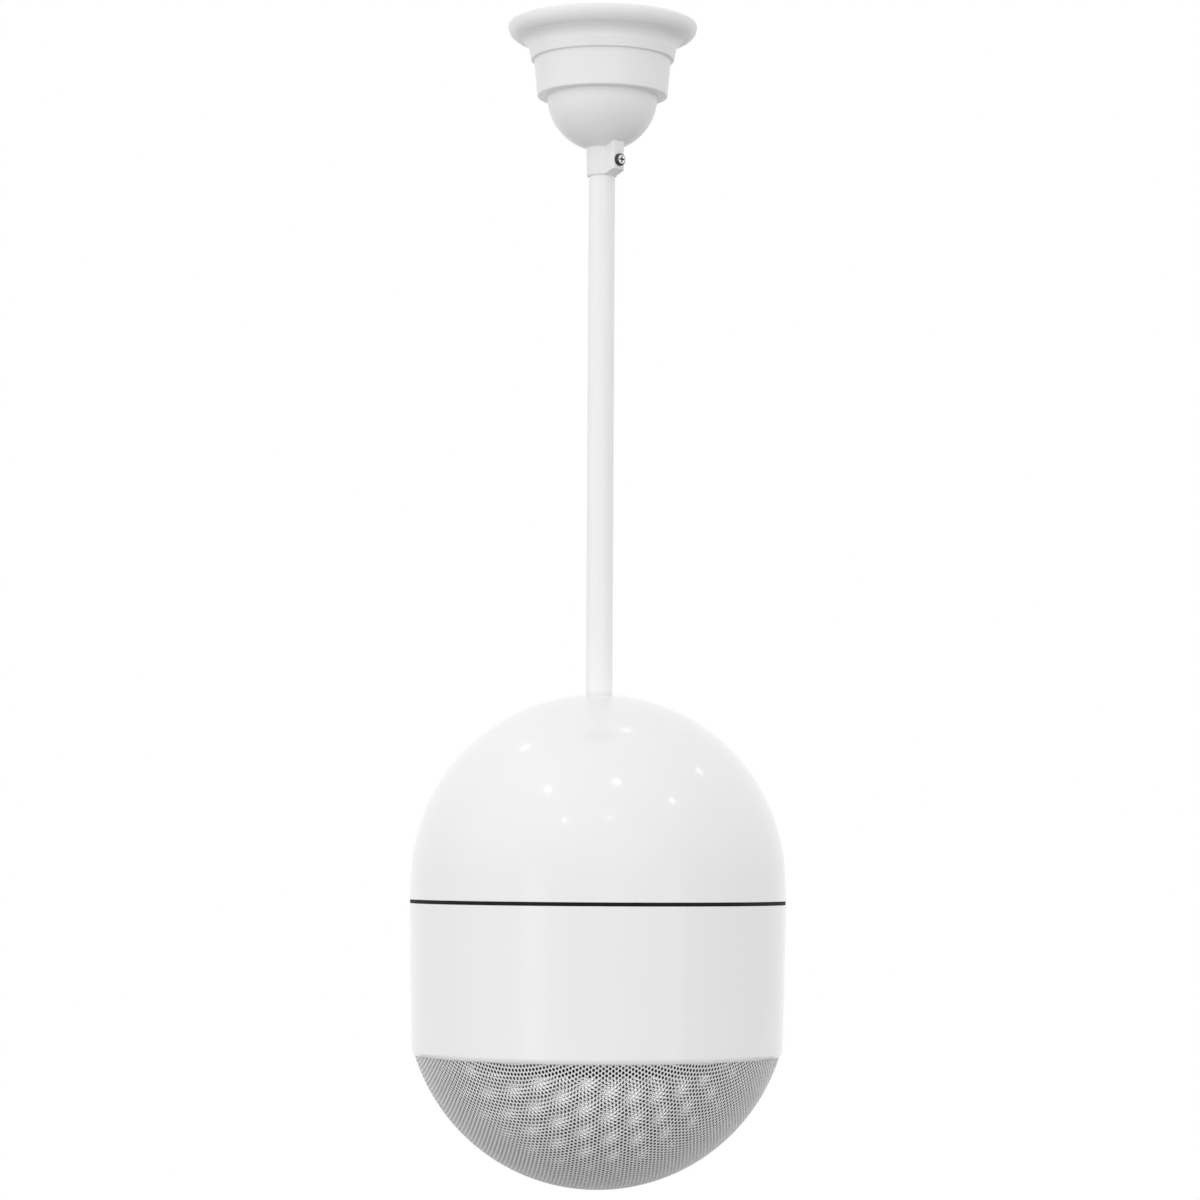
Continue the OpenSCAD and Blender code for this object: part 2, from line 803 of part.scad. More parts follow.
// Perforated steel dome with a short skirt and an inturned flange
module grille() {
  color("lightgray")
    union() {
      difference() {
        intersection() {
          translate([0, 0, grille_z])
            sphere(r = grille_sphere_r, $fn = 96);
          translate([0, 0, bottom_z - grille_depth - past])
            cylinder(r = grille_r + past, h = grille_depth + past);
        }
        translate([0, 0, grille_z])
          sphere(r = grille_sphere_r - grille_t, $fn = 96);
        grille_holes();
      }
      ring(grille_r - grille_t, grille_r, bottom_z, baffle_z);
      ring(grille_flange_r, grille_r - grille_t / 2, baffle_z - grille_t, baffle_z);
    }
}

// Four spring clips welded under the grille's flange that snap over the baffle's slots
module grille_clips() {
  low = baffle_z - grille_t;
  top = baffle_top_z + 3.6;
  color("silver")
    around(4, 0, clip_az)
      rotate([90, 0, 0])
        linear_extrude(height = clip_w, center = true)
          polygon([
            [clip_r, low - clip_t],
            [clip_r + 5, low - clip_t],
            [clip_r + 5, low],
            [clip_r + clip_t, low],
            [clip_r + clip_t, top],
            [clip_r, top],
            [clip_r - 2.4, baffle_top_z + 0.9],
            [clip_r - 2.0, baffle_top_z + 0.4],
            [clip_r, top - 1.2]
          ]);
}

// Foam gasket between the basket and its seat
module driver_gasket() {
  color("dimgray")
    difference() {
      ring(cutout_r + 0.6, basket_r - 0.3, seat_z - gasket_t, seat_z);
      around(4, driver_screw_c, 45)
        translate([0, 0, seat_z - gasket_t - past])
          cylinder(r = 2.3, h = gasket_t + 2 * past, $fn = 32);
    }
}

// The basket's section: flange, cone wall, spider ledge, neck and floor
function basket_section() =
  let (t = basket_t, neck = basket_neck_r, ledge_r = neck + 8, wall_r = cutout_r - 1.4)
  [
    [basket_r, flange_low_z], [basket_r, flange_low_z + t],
    [wall_r, flange_low_z + t], [ledge_r + 0.6, ledge_z + t],
    [neck + t, ledge_z + t], [neck + t, basket_floor_z],
    [basket_eye_r, basket_floor_z], [basket_eye_r, basket_floor_z - t],
    [neck, basket_floor_z - t], [neck, ledge_z],
    [ledge_r - 0.4, ledge_z], [wall_r - 1.5, flange_low_z]
  ];

// Pressed steel basket with six windows
module driver_basket() {
  window_z = flange_low_z + 6;
  color("gray")
    difference() {
      rotate_extrude()
        polygon(basket_section());
      around(6, 0, 0)
        translate([basket_neck_r + 2, -basket_window_w / 2, window_z])
          cube([basket_r, basket_window_w, ledge_z - window_z - 3]);
      around(4, driver_screw_c, 45)
        translate([0, 0, flange_low_z - past])
          cylinder(r = 2.3, h = basket_t + 2 * past, $fn = 32);
      rotate([0, 0, tag_az])
        translate([basket_neck_r + 5, 0, ledge_z - past])
          cylinder(r = tag_rivet_r + glue_play, h = basket_t + 2 * past, $fn = 32);
    }
}

// Four screws that hold the basket against the baffle
module driver_screws() {
  color("dimgray")
    around(4, driver_screw_c, 45)
      translate([0, 0, flange_low_z])
        pan_screw(driver_screw_d, basket_t + gasket_t + 6, 7.6, 2.6);
}

// Black ring that holds the surround's edge down on the flange
module front_ring() {
  color("black")
    ring(ring_in_r, cutout_r, flange_low_z - surround_t - front_ring_h, flange_low_z - surround_t);
}

// The surround's section: glued edge, half roll and the seat of the cone
function surround_section() =
  let (
    t = surround_t, z = flange_low_z, roll_c = cone_r + cone_seat + roll_r,
    out_r = roll_r, in_r = roll_r - surround_t
  )
  concat(
    [[surround_out_r, z], [surround_out_r, z - t]],
    arc([roll_c, z - t], out_r, 0, -180, 12),
    [[cone_r - 4, z - t], [cone_r - 4, z]],
    arc([roll_c, z], in_r, 180, 360, 12)
  );

// Rubber half roll that lets the cone travel
module surround() {
  color("black")
    rotate_extrude()
      polygon(surround_section());
}

// Paper cone with a flat edge that is glued on the surround
module cone() {
  neck = former_out_r + glue_play;
  color("dimgray")
    rotate_extrude()
      polygon([
        [cone_r, flange_low_z], [cone_r, flange_low_z + cone_t],
        [cone_r - 5, flange_low_z + cone_t],
        [neck + 13, cone_neck_z - 6.5], [neck + 0.9, cone_neck_z], [neck, cone_neck_z],
        [neck, cone_neck_z - 2], [neck + 12.6, cone_neck_z - 7.4],
        [cone_r - 5.6, flange_low_z]
      ]);
}

// Small stiff cone for the high notes, glued on the former's end
module whizzer_cone() {
  neck = former_out_r + glue_play;
  top = cone_neck_z - 2.6;
  flare = 10.5;
  deep = 16.3;
  color("gray")
    rotate_extrude()
      polygon([
        [neck, top], [neck + 0.5, top], [neck + flare * 0.4 + 0.3, top - deep * 0.55],
        [neck + flare + 0.5, top - deep + 0.3], [neck + flare, top - deep],
        [neck + flare * 0.4 - 0.2, top - deep * 0.55 - 0.3], [neck, top - 1]
      ]);
}

// Domed cap over the former's open end
module dust_cap() {
  cap_r = former_out_r - 0.1;
  sphere_r = 17;
  centre = former_low_z - 0.5 + sqrt(sphere_r * sphere_r - cap_r * cap_r);
  color("gray")
    difference() {
      intersection() {
        translate([0, 0, centre])
          sphere(r = sphere_r);
        translate([0, 0, centre - sphere_r - past])
          cylinder(r = cap_r, h = former_low_z - centre + sphere_r + past);
      }
      translate([0, 0, centre])
        sphere(r = sphere_r - 0.6);
    }
}

// Thin tube that carries the voice coil
module voice_coil_former() {
  color("tan")
    ring(former_r, former_out_r, former_low_z, former_top_z);
}

// Copper winding in the magnet's gap
module voice_coil() {
  color("peru")
    ring(former_out_r + 0.01, former_out_r + coil_t, front_plate_z - 2, front_plate_z + plate_t + 2);
}

// Corrugated cloth disc that centres the coil
module spider() {
  in_r = former_out_r + glue_play;
  wave_in = in_r + 2.5;
  wave_out = basket_neck_r - 1;
  waves = 5;
  depth = 0.8;
  cloth = 0.4;
  steps = 8 * waves;
  mid = [
    for (i = [0:steps])
      let (u = i / steps)
      [wave_in + (wave_out - wave_in) * u, ledge_z - cloth - depth * sin(360 * waves * u)]
  ];
  color("goldenrod")
    rotate_extrude()
      polygon(concat(
        [[in_r, ledge_z - cloth]],
        mid,
        [[basket_neck_r + 7, ledge_z - cloth], [basket_neck_r + 7, ledge_z]],
        [for (i = [steps:-1:0]) [mid[i][0], mid[i][1] + cloth]],
        [[in_r, ledge_z]]
      ));
}

// Steel plate on the basket side of the magnet
module front_plate() {
  color("silver")
    ring(gap_r, plate_r, front_plate_z, front_plate_z + plate_t);
}

// Ferrite ring
module magnet() {
  color("dimgray")
    ring(plate_r / 2, magnet_r, magnet_z, magnet_z + magnet_t);
}

// Steel plate with the pole piece that reaches down through the coil
module back_plate() {
  color("silver")
    union() {
      translate([0, 0, back_plate_z])
        cylinder(r = plate_r, h = plate_t);
      translate([0, 0, front_plate_z])
        cylinder(r = pole_r, h = back_plate_z - front_plate_z + past);
    }
}

// Strip on the basket's ledge that carries the two solder tags
module tag_board() {
  color("saddlebrown")
    rotate([0, 0, tag_az])
      difference() {
        translate([basket_neck_r + basket_t + 0.4, -10, tag_board_z])
          cube([20, 20, tag_board_t]);
        translate([basket_neck_r + 5, 0, tag_board_z - past])
          cylinder(r = tag_rivet_r + glue_play, h = tag_board_t + 2 * past, $fn = 32);
      }
}

// Two solder tags with upturned ends
module tags() {
  color("gold")
    for (side = [-1, 1])
      rotate([0, 0, tag_az])
        translate([basket_neck_r + 8, side * 6.5, tag_board_z + tag_board_t])
          rotate([90, 0, 0])
            linear_extrude(height = 4, center = true)
              polygon([[0, 0], [16, 0], [16, 6], [16 - tag_t, 6], [16 - tag_t, tag_t], [0, tag_t]]);
}

// Rivet through the board and the ledge
module tag_rivet() {
  color("silver")
    rotate([0, 0, tag_az])
      translate([basket_neck_r + 5, 0, ledge_z]) {
        cylinder(r = tag_rivet_r, h = basket_t + tag_board_t + 0.4, $fn = 32);
        translate([0, 0, basket_t + tag_board_t])
          cylinder(r1 = 2.2, r2 = 1.4, h = 0.9, $fn = 32);
      }
}

// Laminated core with two windows
module transformer_core() {
  color("slategray")
    translate([0, core_y, core_z])
      difference() {
        translate([-core_w / 2, -core_t / 2, 0])
          cube([core_w, core_t, core_h]);
        for (side = [-1, 1])
          translate([side * core_leg * 0.75 - core_leg / 4, -core_t / 2 - past, core_leg / 2])
            cube([core_leg / 2, core_t + 2 * past, winding_h]);
      }
}

// Bobbin round the middle leg
module transformer_bobbin() {
  flange = 1;
  color("ivory")
    translate([0, core_y, core_z + core_leg / 2])
      difference() {
        union() {
          for (z = [0.1, winding_h - flange - 0.1])
            translate([-winding_w / 2, -winding_y / 2, z])
              cube([winding_w, winding_y, flange]);
          translate([-core_leg / 2 - 0.8, -core_t / 2 - 0.8, 0.1])
            cube([core_leg + 1.6, core_t + 1.6, winding_h - 0.2]);
        }
        translate([-core_leg / 2 - 0.1, -core_t / 2 - 0.1, -past])
          cube([core_leg + 0.2, core_t + 0.2, winding_h + 2 * past]);
      }
}

// Taped winding on the bobbin
module transformer_winding() {
  hole_x = core_leg + 1.7;
  hole_y = core_t + 1.7;
  color("gold")
    translate([0, core_y, core_z + core_leg / 2 + 1.2])
      difference() {
        translate([-winding_w / 2 + 0.4, -winding_y / 2 + 1, 0])
          cube([winding_w - 0.8, winding_y - 2, winding_h - 2.4]);
        translate([-hole_x / 2, -hole_y / 2, -past])
          cube([hole_x, hole_y, winding_h + 2 * past]);
      }
}

// Steel band over the core with two feet
module transformer_frame() {
  half = core_w / 2;
  color("silver")
    translate([0, core_y, core_z])
      difference() {
        rotate([90, 0, 0])
          linear_extrude(height = frame_w, center = true)
            polygon([
              [half, 0], [half + frame_t + frame_foot, 0], [half + frame_t + frame_foot, frame_t],
              [half + frame_t, frame_t], [half + frame_t, core_h + frame_t],
              [-half - frame_t, core_h + frame_t], [-half - frame_t, frame_t],
              [-half - frame_t - frame_foot, frame_t], [-half - frame_t - frame_foot, 0],
              [-half, 0], [-half, core_h], [half, core_h]
            ]);
        for (side = [-1, 1])
          translate([side * foot_x, 2, -past])
            cylinder(r = 1.7, h = frame_t + 2 * past, $fn = 32);
      }
}

// Two screws through the band's feet into the baffle
module transformer_screws() {
  color("silver")
    for (side = [-1, 1])
      translate([side * foot_x, core_y + 2, core_z + frame_t])
        rotate([180, 0, 0])
          pan_screw(2.9, frame_t + 5, 5.6, 2);
}

ceiling_bracket();
tube_nuts();
tube_washers();
terminal_block();
terminal_sleeves();
terminal_screws();
block_screw();
canopy();
canopy_insert();
canopy_screw();
stem_tube();
tube_bush();
upper_shell();
tube_flange();
flange_screws();
tube_lock_nut();
seam_seal();
lower_shell();
housing_screws();
grille();
grille_clips();
driver_gasket();
driver_basket();
driver_screws();
front_ring();
surround();
cone();
whizzer_cone();
dust_cap();
voice_coil_former();
voice_coil();
spider();
front_plate();
magnet();
back_plate();
tag_board();
tags();
tag_rivet();
transformer_core();
transformer_bobbin();
transformer_winding();
transformer_frame();
transformer_screws();
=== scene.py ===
import math

import bmesh
import bpy
from mathutils import Matrix, Vector


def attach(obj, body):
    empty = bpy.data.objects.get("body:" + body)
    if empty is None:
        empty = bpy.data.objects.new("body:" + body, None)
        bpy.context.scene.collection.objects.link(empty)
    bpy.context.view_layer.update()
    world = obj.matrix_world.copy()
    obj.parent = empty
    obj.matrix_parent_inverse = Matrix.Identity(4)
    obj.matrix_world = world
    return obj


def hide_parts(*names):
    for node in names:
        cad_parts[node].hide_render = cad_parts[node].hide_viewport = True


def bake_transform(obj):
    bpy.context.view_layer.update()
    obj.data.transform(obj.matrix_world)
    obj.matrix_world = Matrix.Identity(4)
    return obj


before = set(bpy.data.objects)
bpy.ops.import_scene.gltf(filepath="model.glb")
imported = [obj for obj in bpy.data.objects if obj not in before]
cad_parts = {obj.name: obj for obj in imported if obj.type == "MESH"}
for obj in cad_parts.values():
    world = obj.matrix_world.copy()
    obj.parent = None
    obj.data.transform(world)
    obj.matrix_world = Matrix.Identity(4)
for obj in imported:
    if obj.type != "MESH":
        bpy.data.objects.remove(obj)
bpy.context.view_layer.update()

# The housing's and the canopy's sizes are worked out in millimetres and made into metres once
MM = 0.001

# ---- The loudspeaker's sizes, as in the part's source ----

DROP = 408.2
TUBE_R = 8.0
TUBE_WALL = 1.5
TUBE_TOP_Z = -9.0
TUBE_END_Z = -451.7
DOME_R = 112.2
LIP_H = 11.0
SEAM_R = 112.65
WALL = 2.8
SEAL_T = 2.2
LOWER_H = 89.7
LOWER_TAPER = 1.85
EDGE_ROUND = 4.2
BAFFLE_UP = 6.3
BAFFLE_T = 2.8
DISH_R = 90.35
DISH_DROP = 8.0
CUTOUT_R = 72.75
PILLAR_C = 97.85
PILLAR_R = 6.2
GRILLE_R = 108.75
GRILLE_FLANGE_R = 103.85
GRILLE_DEPTH = 79.62
GRILLE_T = 0.8

DOME_Z = -DROP - DOME_R
LIP_Z = DOME_Z - LIP_H
SEAL_Z = LIP_Z - SEAL_T
EDGE_Z = SEAL_Z - LOWER_H
LOWER_R = SEAM_R - LOWER_TAPER
BAFFLE_Z = EDGE_Z + BAFFLE_UP
BAFFLE_TOP_Z = BAFFLE_Z + BAFFLE_T
SEAT_Z = BAFFLE_Z - DISH_DROP
FLANGE_LOW_Z = SEAT_Z - 1.0 - 1.2
LEDGE_Z = FLANGE_LOW_Z + 31.0
SURROUND_OUT_R = CUTOUT_R - 0.8
SURROUND_T = 0.6
ROLL_R = 4.5
CONE_R = CUTOUT_R - 4.8 - 0.6 - 2 * ROLL_R - 0.5
FORMER_OUT_R = 13.05
BASKET_NECK_R = 38.0
GRILLE_BALL_R = (GRILLE_R ** 2 + GRILLE_DEPTH ** 2) / (2 * GRILLE_DEPTH)
GRILLE_BALL_Z = EDGE_Z - GRILLE_DEPTH + GRILLE_BALL_R
GRILLE_EDGE_ANGLE = math.asin(GRILLE_R / GRILLE_BALL_R)

# Perforations of the flat sheet, before it is pressed into the dome
HOLE_PITCH = 2.14
HOLE_D = 1.66
DRAW_POWER = 1.03
SKIRT = 2.6
SECTORS = 3
LATTICE_TURN = 4.0


# ---- Small tools for outlines and meshes ----

def bend(centre, radius, start, end, steps):
    """Points of an arc in an outline, from one angle to another in degrees."""
    points = []
    for i in range(steps + 1):
        a = math.radians(start + (end - start) * i / steps)
        points.append((centre[0] + radius * math.cos(a), centre[1] + radius * math.sin(a)))
    return points


def eased(corners, steps=5):
    """A closed outline whose corners (r, z, rounding) become small arcs with a support point on each side."""
    points = []
    count = len(corners)
    for i, (x, z, rounding) in enumerate(corners):
        here = Vector((x, z))
        if rounding <= 0:
            points.append((x, z))
            continue
        back = (Vector(corners[i - 1][:2]) - here)
        ahead = (Vector(corners[(i + 1) % count][:2]) - here)
        half = back.angle(ahead) / 2
        reach = min(rounding / math.tan(half), 0.45 * back.length, 0.45 * ahead.length)
        radius = reach * math.tan(half)
        back.normalize()
        ahead.normalize()
        middle = here + (back + ahead).normalized() * radius / math.sin(half)
        first, last = here + back * reach, here + ahead * reach
        points.append(tuple(here + back * reach * 1.35))
        turn = (first - middle).angle_signed(last - middle)
        for k in range(steps + 1):
            a = -turn * k / steps
            ray = first - middle
            points.append((
                middle.x + ray.x * math.cos(a) - ray.y * math.sin(a),
                middle.y + ray.x * math.sin(a) + ray.y * math.cos(a),
            ))
        points.append(tuple(here + ahead * reach * 1.35))
    return points


def turn_outline(mesh, outline, steps, place=None):
    """Turns a closed outline of (r, z) points about the axis into a closed skin of quads."""
    rings = []
    for r, z in outline:
        if r < 1e-6:
            ring = [mesh.verts.new((0, 0, z * MM))]
        else:
            ring = [
                mesh.verts.new((
                    r * MM * math.cos(2 * math.pi * i / steps),
                    r * MM * math.sin(2 * math.pi * i / steps),
                    z * MM,
                ))
                for i in range(steps)
            ]
        if place is not None:
            for v in ring:
                v.co = place @ v.co
        rings.append(ring)
    for a, b in zip(rings, rings[1:] + rings[:1]):
        if len(a) == 1 and len(b) == 1:
            continue
        for i in range(steps):
            j = (i + 1) % steps
            corners = [a[i % len(a)], a[j % len(a)], b[j % len(b)], b[i % len(b)]]
            corners = list(dict.fromkeys(corners))
            if len(corners) > 2:
                mesh.faces.new(corners)


def closed(name, mesh, material, sharp):
    """Closes a mesh: outward faces, smooth shading with crisp edges and its material."""
    bmesh.ops.remove_doubles(mesh, verts=mesh.verts, dist=1e-6)
    bmesh.ops.recalc_face_normals(mesh, faces=mesh.faces)
    for face in mesh.faces:
        face.smooth = True
    for edge in mesh.edges:
        edge.smooth = len(edge.link_faces) == 2 and edge.calc_face_angle(0) < math.radians(sharp)
    data = bpy.data.meshes.new(name)
    mesh.to_mesh(data)
    mesh.free()
    data.materials.append(material)
    obj = bpy.data.objects.new(name, data)
    bpy.context.scene.collection.objects.link(obj)
    return obj


def finished(name, mesh, material, body, stands_for=(), sharp=32):
    """Makes a mesh a closed piece on its body."""
    return seated(closed(name, mesh, material, sharp), body, stands_for)


def seated(obj, body, stands_for=()):
    """Puts a finished piece on its body and the nodes it stands for."""
    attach(obj, body)
    if stands_for:
        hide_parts(*stands_for)
    return obj


# ---- Tools for node trees, in materials and in Geometry Nodes ----

def knot(tree, kind, inputs=None, **settings):
    """One node of a tree. An input given a socket is wired to it, and any other value is set."""
    made = tree.nodes.new(kind)
    for key, value in settings.items():
        setattr(made, key, value)
    for key, value in (inputs or {}).items():
        socket = made.inputs[key]
        if isinstance(value, bpy.types.NodeSocket):
            tree.links.new(value, socket)
        else:
            socket.default_value = value
    return made


def sums(tree, operation, a, b=0.0, c=0.0):
    """The result of one step of arithmetic in a tree."""
    kind = "ShaderNodeMath"
    return knot(tree, kind, {0: a, 1: b, 2: c}, operation=operation).outputs[0]


def blank(name, rough=0.5, metal=0.0, coat=0.0):
    """A new material with its tree, its shader and the object's own coordinates."""
    material = bpy.data.materials.new(name)
    material.use_nodes = True
    tree = material.node_tree
    shader = next(n for n in tree.nodes if n.type == "BSDF_PRINCIPLED")
    shader.inputs["Metallic"].default_value = metal
    shader.inputs["Roughness"].default_value = rough
    shader.inputs["Coat Weight"].default_value = coat
    where = knot(tree, "ShaderNodeTexCoord").outputs["Object"]
    return material, tree, shader, where


def noise(tree, where, scale, detail=3.0, rough=0.5, stretch=None):
    """Seeded noise on the object's own coordinates, stretched for a drawn or brushed surface."""
    if stretch is not None:
        where = knot(tree, "ShaderNodeMapping", {"Vector": where, "Scale": stretch}).outputs[0]
    return knot(tree, "ShaderNodeTexNoise", {
        "Vector": where, "Scale": scale, "Detail": detail, "Roughness": rough,
    }).outputs["Fac"]


def spread(tree, value, low, high):
    """Maps a 0 to 1 pattern to a range."""
    return knot(tree, "ShaderNodeMapRange", {"Value": value, "To Min": low, "To Max": high}).outputs[0]


def tinted(tree, value, first, second, low=0.3, high=0.7):
    """Two colours mixed by a pattern."""
    share = knot(tree, "ShaderNodeMapRange", {"Value": value, "From Min": low, "From Max": high}).outputs[0]
    mix = knot(tree, "ShaderNodeMix", data_type="RGBA")
    tree.links.new(share, mix.inputs["Factor"])
    mix.inputs[6].default_value = (*first, 1)
    mix.inputs[7].default_value = (*second, 1)
    return mix.outputs[2]


def relief(tree, shader, height, depth, under=None):
    """Bumps the surface by a pattern, with depth in metres."""
    inputs = {"Height": height, "Strength": 1.0, "Distance": depth}
    if under is not None:
        inputs["Normal"] = under
    bump = knot(tree, "ShaderNodeBump", inputs)
    tree.links.new(bump.outputs[0], shader.inputs["Normal"])
    return bump.outputs[0]


def surface(tree, shader, colour, roughness):
    """Wires a colour and a roughness pattern into the shader."""
    tree.links.new(colour, shader.inputs["Base Color"])
    tree.links.new(roughness, shader.inputs["Roughness"])


# ---- Finishes ----

def moulded_white(name, light, dark, rough, peel, coat):
    """White moulded plastic: faint flow mottling, a fine skin and a slow waviness under the gloss."""
    material, tree, shader, where = blank(name, rough, coat=coat)
    shader.inputs["Coat Roughness"].default_value = rough * 0.4
    flow = noise(tree, where, 14.0, 4.0)
    skin = noise(tree, where, 900.0, 2.0)
    wave = noise(tree, where, 60.0, 2.0)
    surface(tree, shader, tinted(tree, flow, dark, light), spread(tree, noise(tree, where, 35.0), rough * 0.8, rough * 1.2))
    fine = relief(tree, shader, skin, peel)
    relief(tree, shader, wave, peel * 1.5, fine)
    return material


def shell_white():
    return moulded_white("shell_white_gloss", (0.862, 0.862, 0.86), (0.85, 0.85, 0.848), 0.22, 2e-6, 0.8)


def canopy_white():
    return moulded_white("canopy_white_satin", (0.85, 0.85, 0.847), (0.83, 0.83, 0.827), 0.36, 7e-6, 0.1)


def tube_coat():
    """White powder coat on the tube, with the faint ripple of the powder and of the drawn steel."""
    material, tree, shader, where = blank("tube_powder_coat", 0.32, coat=0.15)
    shader.inputs["Coat Roughness"].default_value = 0.2
    powder = noise(tree, where, 1400.0, 3.0)
    drawn = noise(tree, where, 40.0, 3.0, stretch=(6.0, 6.0, 0.5))
    surface(tree, shader, tinted(tree, drawn, (0.88, 0.88, 0.88), (0.9, 0.9, 0.898)), spread(tree, drawn, 0.26, 0.4))
    fine = relief(tree, shader, powder, 8e-6)
    relief(tree, shader, drawn, 2e-5, fine)
    return material


def powder_coat(name, light, dark, rough):
    """Powder coat on perforated sheet, thinner and greyer at places."""
    material, tree, shader, where = blank(name, rough)
    blotch = noise(tree, where, 22.0, 4.0)
    powder = noise(tree, where, 1600.0, 2.0)
    surface(tree, shader, tinted(tree, blotch, dark, light), spread(tree, powder, rough * 0.85, rough * 1.2))
    relief(tree, shader, powder, 1e-5)
    return material


def grille_coat():
    return powder_coat("grille_powder_coat", (0.84, 0.84, 0.837), (0.78, 0.78, 0.777), 0.42)


def painted_grille_shade():
    """Painted shade for the inside of the grille: white at the mouth of each hole, and dark grey further in and on the
    inner face, where the dome's inside lies in shadow.
    """
    material, tree, shader, where = blank("grille_inside_painted_shade", 0.5)
    blotch = noise(tree, where, 22.0, 4.0)
    powder = noise(tree, where, 1600.0, 2.0)
    from_centre = knot(tree, "ShaderNodeVectorMath", {0: where, 1: (0.0, 0.0, GRILLE_BALL_Z * MM)},
                       operation="SUBTRACT").outputs[0]
    far = knot(tree, "ShaderNodeVectorMath", {0: from_centre}, operation="LENGTH").outputs["Value"]
    depths = {"Value": far, "From Min": (GRILLE_BALL_R - 0.42) * MM, "From Max": (GRILLE_BALL_R - 0.12) * MM}
    # Painted shade: the wall turns from white to dark grey with depth below the outer skin.
    mouth_out_of_painted_shade = knot(tree, "ShaderNodeMapRange", depths).outputs[0]
    painted_shade_grey = tinted(tree, blotch, (0.11, 0.11, 0.115), (0.16, 0.16, 0.165))
    colour = knot(tree, "ShaderNodeMix", {0: mouth_out_of_painted_shade, 6: painted_shade_grey, 7: (0.84, 0.84, 0.838, 1.0)}, data_type="RGBA").outputs[2]
    surface(tree, shader, colour, spread(tree, powder, 0.42, 0.6))
    relief(tree, shader, powder, 1e-5)
    return material


def plated(name, light, dark, rough, brush, tint_scale=60.0):
    """Plated or bare metal with a brushed grain and cloudy tarnish."""
    material, tree, shader, where = blank(name, rough, metal=1.0)
    grain = noise(tree, where, 500.0, 4.0, stretch=brush)
    cloud = noise(tree, where, tint_scale, 5.0, 0.6)
    surface(tree, shader, tinted(tree, cloud, dark, light), spread(tree, grain, rough * 0.7, rough * 1.4))
    relief(tree, shader, grain, 1.2e-5)
    return material


CLAMP_AZ = math.radians(-48)
CLAMP_Z = -85.8 * MM


def screw_chrome():
    """Chrome on the clamp screw, its colour darkened to near black round the head's rim and in its cross recess:
    painted shade and painted dark reflection.
    """
    material, tree, shader, where = blank("clamp_screw_chrome", 0.1, metal=1.0)
    grain = noise(tree, where, 500.0, 4.0)
    from_axis = knot(tree, "ShaderNodeVectorMath", {0: where, 1: (0.0, 0.0, CLAMP_Z)}, operation="SUBTRACT").outputs[0]
    across = knot(tree, "ShaderNodeVectorMath", {
        0: from_axis, 1: (math.cos(CLAMP_AZ), math.sin(CLAMP_AZ), 0.0),
    }, operation="CROSS_PRODUCT").outputs[0]
    far = knot(tree, "ShaderNodeVectorMath", {0: across}, operation="LENGTH").outputs["Value"]
    # Painted shade and painted dark reflection: a dark ring round the rim of the head.
    rim = knot(tree, "ShaderNodeMapRange", {"Value": far, "From Min": 2.2 * MM, "From Max": 3.1 * MM},
               interpolation_type="SMOOTHSTEP").outputs[0]
    up = knot(tree, "ShaderNodeVectorMath", {
        0: from_axis, 1: (math.cos(CLAMP_AZ), math.sin(CLAMP_AZ), 0.0),
    }, operation="DOT_PRODUCT").outputs["Value"]
    # Painted shade in the cross recess: dark below the head's face.
    painted_recess_shade = knot(tree, "ShaderNodeMapRange", {
        "Value": up, "From Min": 17.0 * MM, "From Max": 17.6 * MM, "To Min": 1.0, "To Max": 0.0,
    }).outputs[0]
    # dark joins both painted shade masks; where it is 1 the chrome is coloured near black.
    dark = sums(tree, "MAXIMUM", rim, painted_recess_shade)
    surface(tree, shader, tinted(tree, dark, (0.8, 0.81, 0.83), (0.07, 0.07, 0.075), 0.0, 1.0),
            spread(tree, grain, 0.07, 0.16))
    relief(tree, shader, grain, 6e-6)
    return material


def zinc_plate():
    return plated("bright_zinc_plate", (0.66, 0.67, 0.68), (0.5, 0.52, 0.55), 0.3, (1.0, 0.2, 1.0))


def cast_zinc():
    return plated("plain_die_cast", (0.55, 0.56, 0.57), (0.42, 0.43, 0.44), 0.48, (1.0, 1.0, 1.0), 180.0)


def turned_brass():
    return plated("turned_brass", (0.78, 0.61, 0.27), (0.62, 0.46, 0.18), 0.26, (0.3, 1.0, 1.0))


def black_plate():
    return plated("black_zinc_plate", (0.06, 0.06, 0.065), (0.03, 0.03, 0.033), 0.42, (1.0, 1.0, 1.0))


def basket_paint():
    """Grey paint on pressed steel, with a slight orange peel."""
    material, tree, shader, where = blank("basket_grey_paint", 0.45)
    peel = noise(tree, where, 450.0, 2.0)
    dust = noise(tree, where, 90.0, 5.0, 0.7)
    surface(tree, shader, tinted(tree, dust, (0.2, 0.21, 0.22), (0.27, 0.28, 0.29)), spread(tree, peel, 0.38, 0.55))
    relief(tree, shader, peel, 2e-5)
    return material


def soft_black(name, light, dark, rough, scale, depth, sheen=0.15, gloss=0.5):
    """Matt black rubber or foam, with bloom in its hollows."""
    material, tree, shader, where = blank(name, rough)
    shader.inputs["Specular IOR Level"].default_value = gloss
    shader.inputs["Sheen Weight"].default_value = sheen
    shader.inputs["Sheen Roughness"].default_value = 0.5
    pores = noise(tree, where, scale, 4.0, 0.6)
    bloom = noise(tree, where, 50.0, 4.0)
    surface(tree, shader, tinted(tree, bloom, dark, light), spread(tree, pores, rough * 0.85, min(1.0, rough * 1.15)))
    relief(tree, shader, pores, depth)
    return material


def black_rubber():
    return soft_black("matt_black_rubber", (0.016, 0.016, 0.017), (0.009, 0.009, 0.009), 0.7, 700.0, 1.5e-5, 0.02, 0.12)


def black_foam():
    return soft_black("black_foam_rubber", (0.06, 0.06, 0.06), (0.03, 0.03, 0.03), 0.9, 1500.0, 1.2e-4)


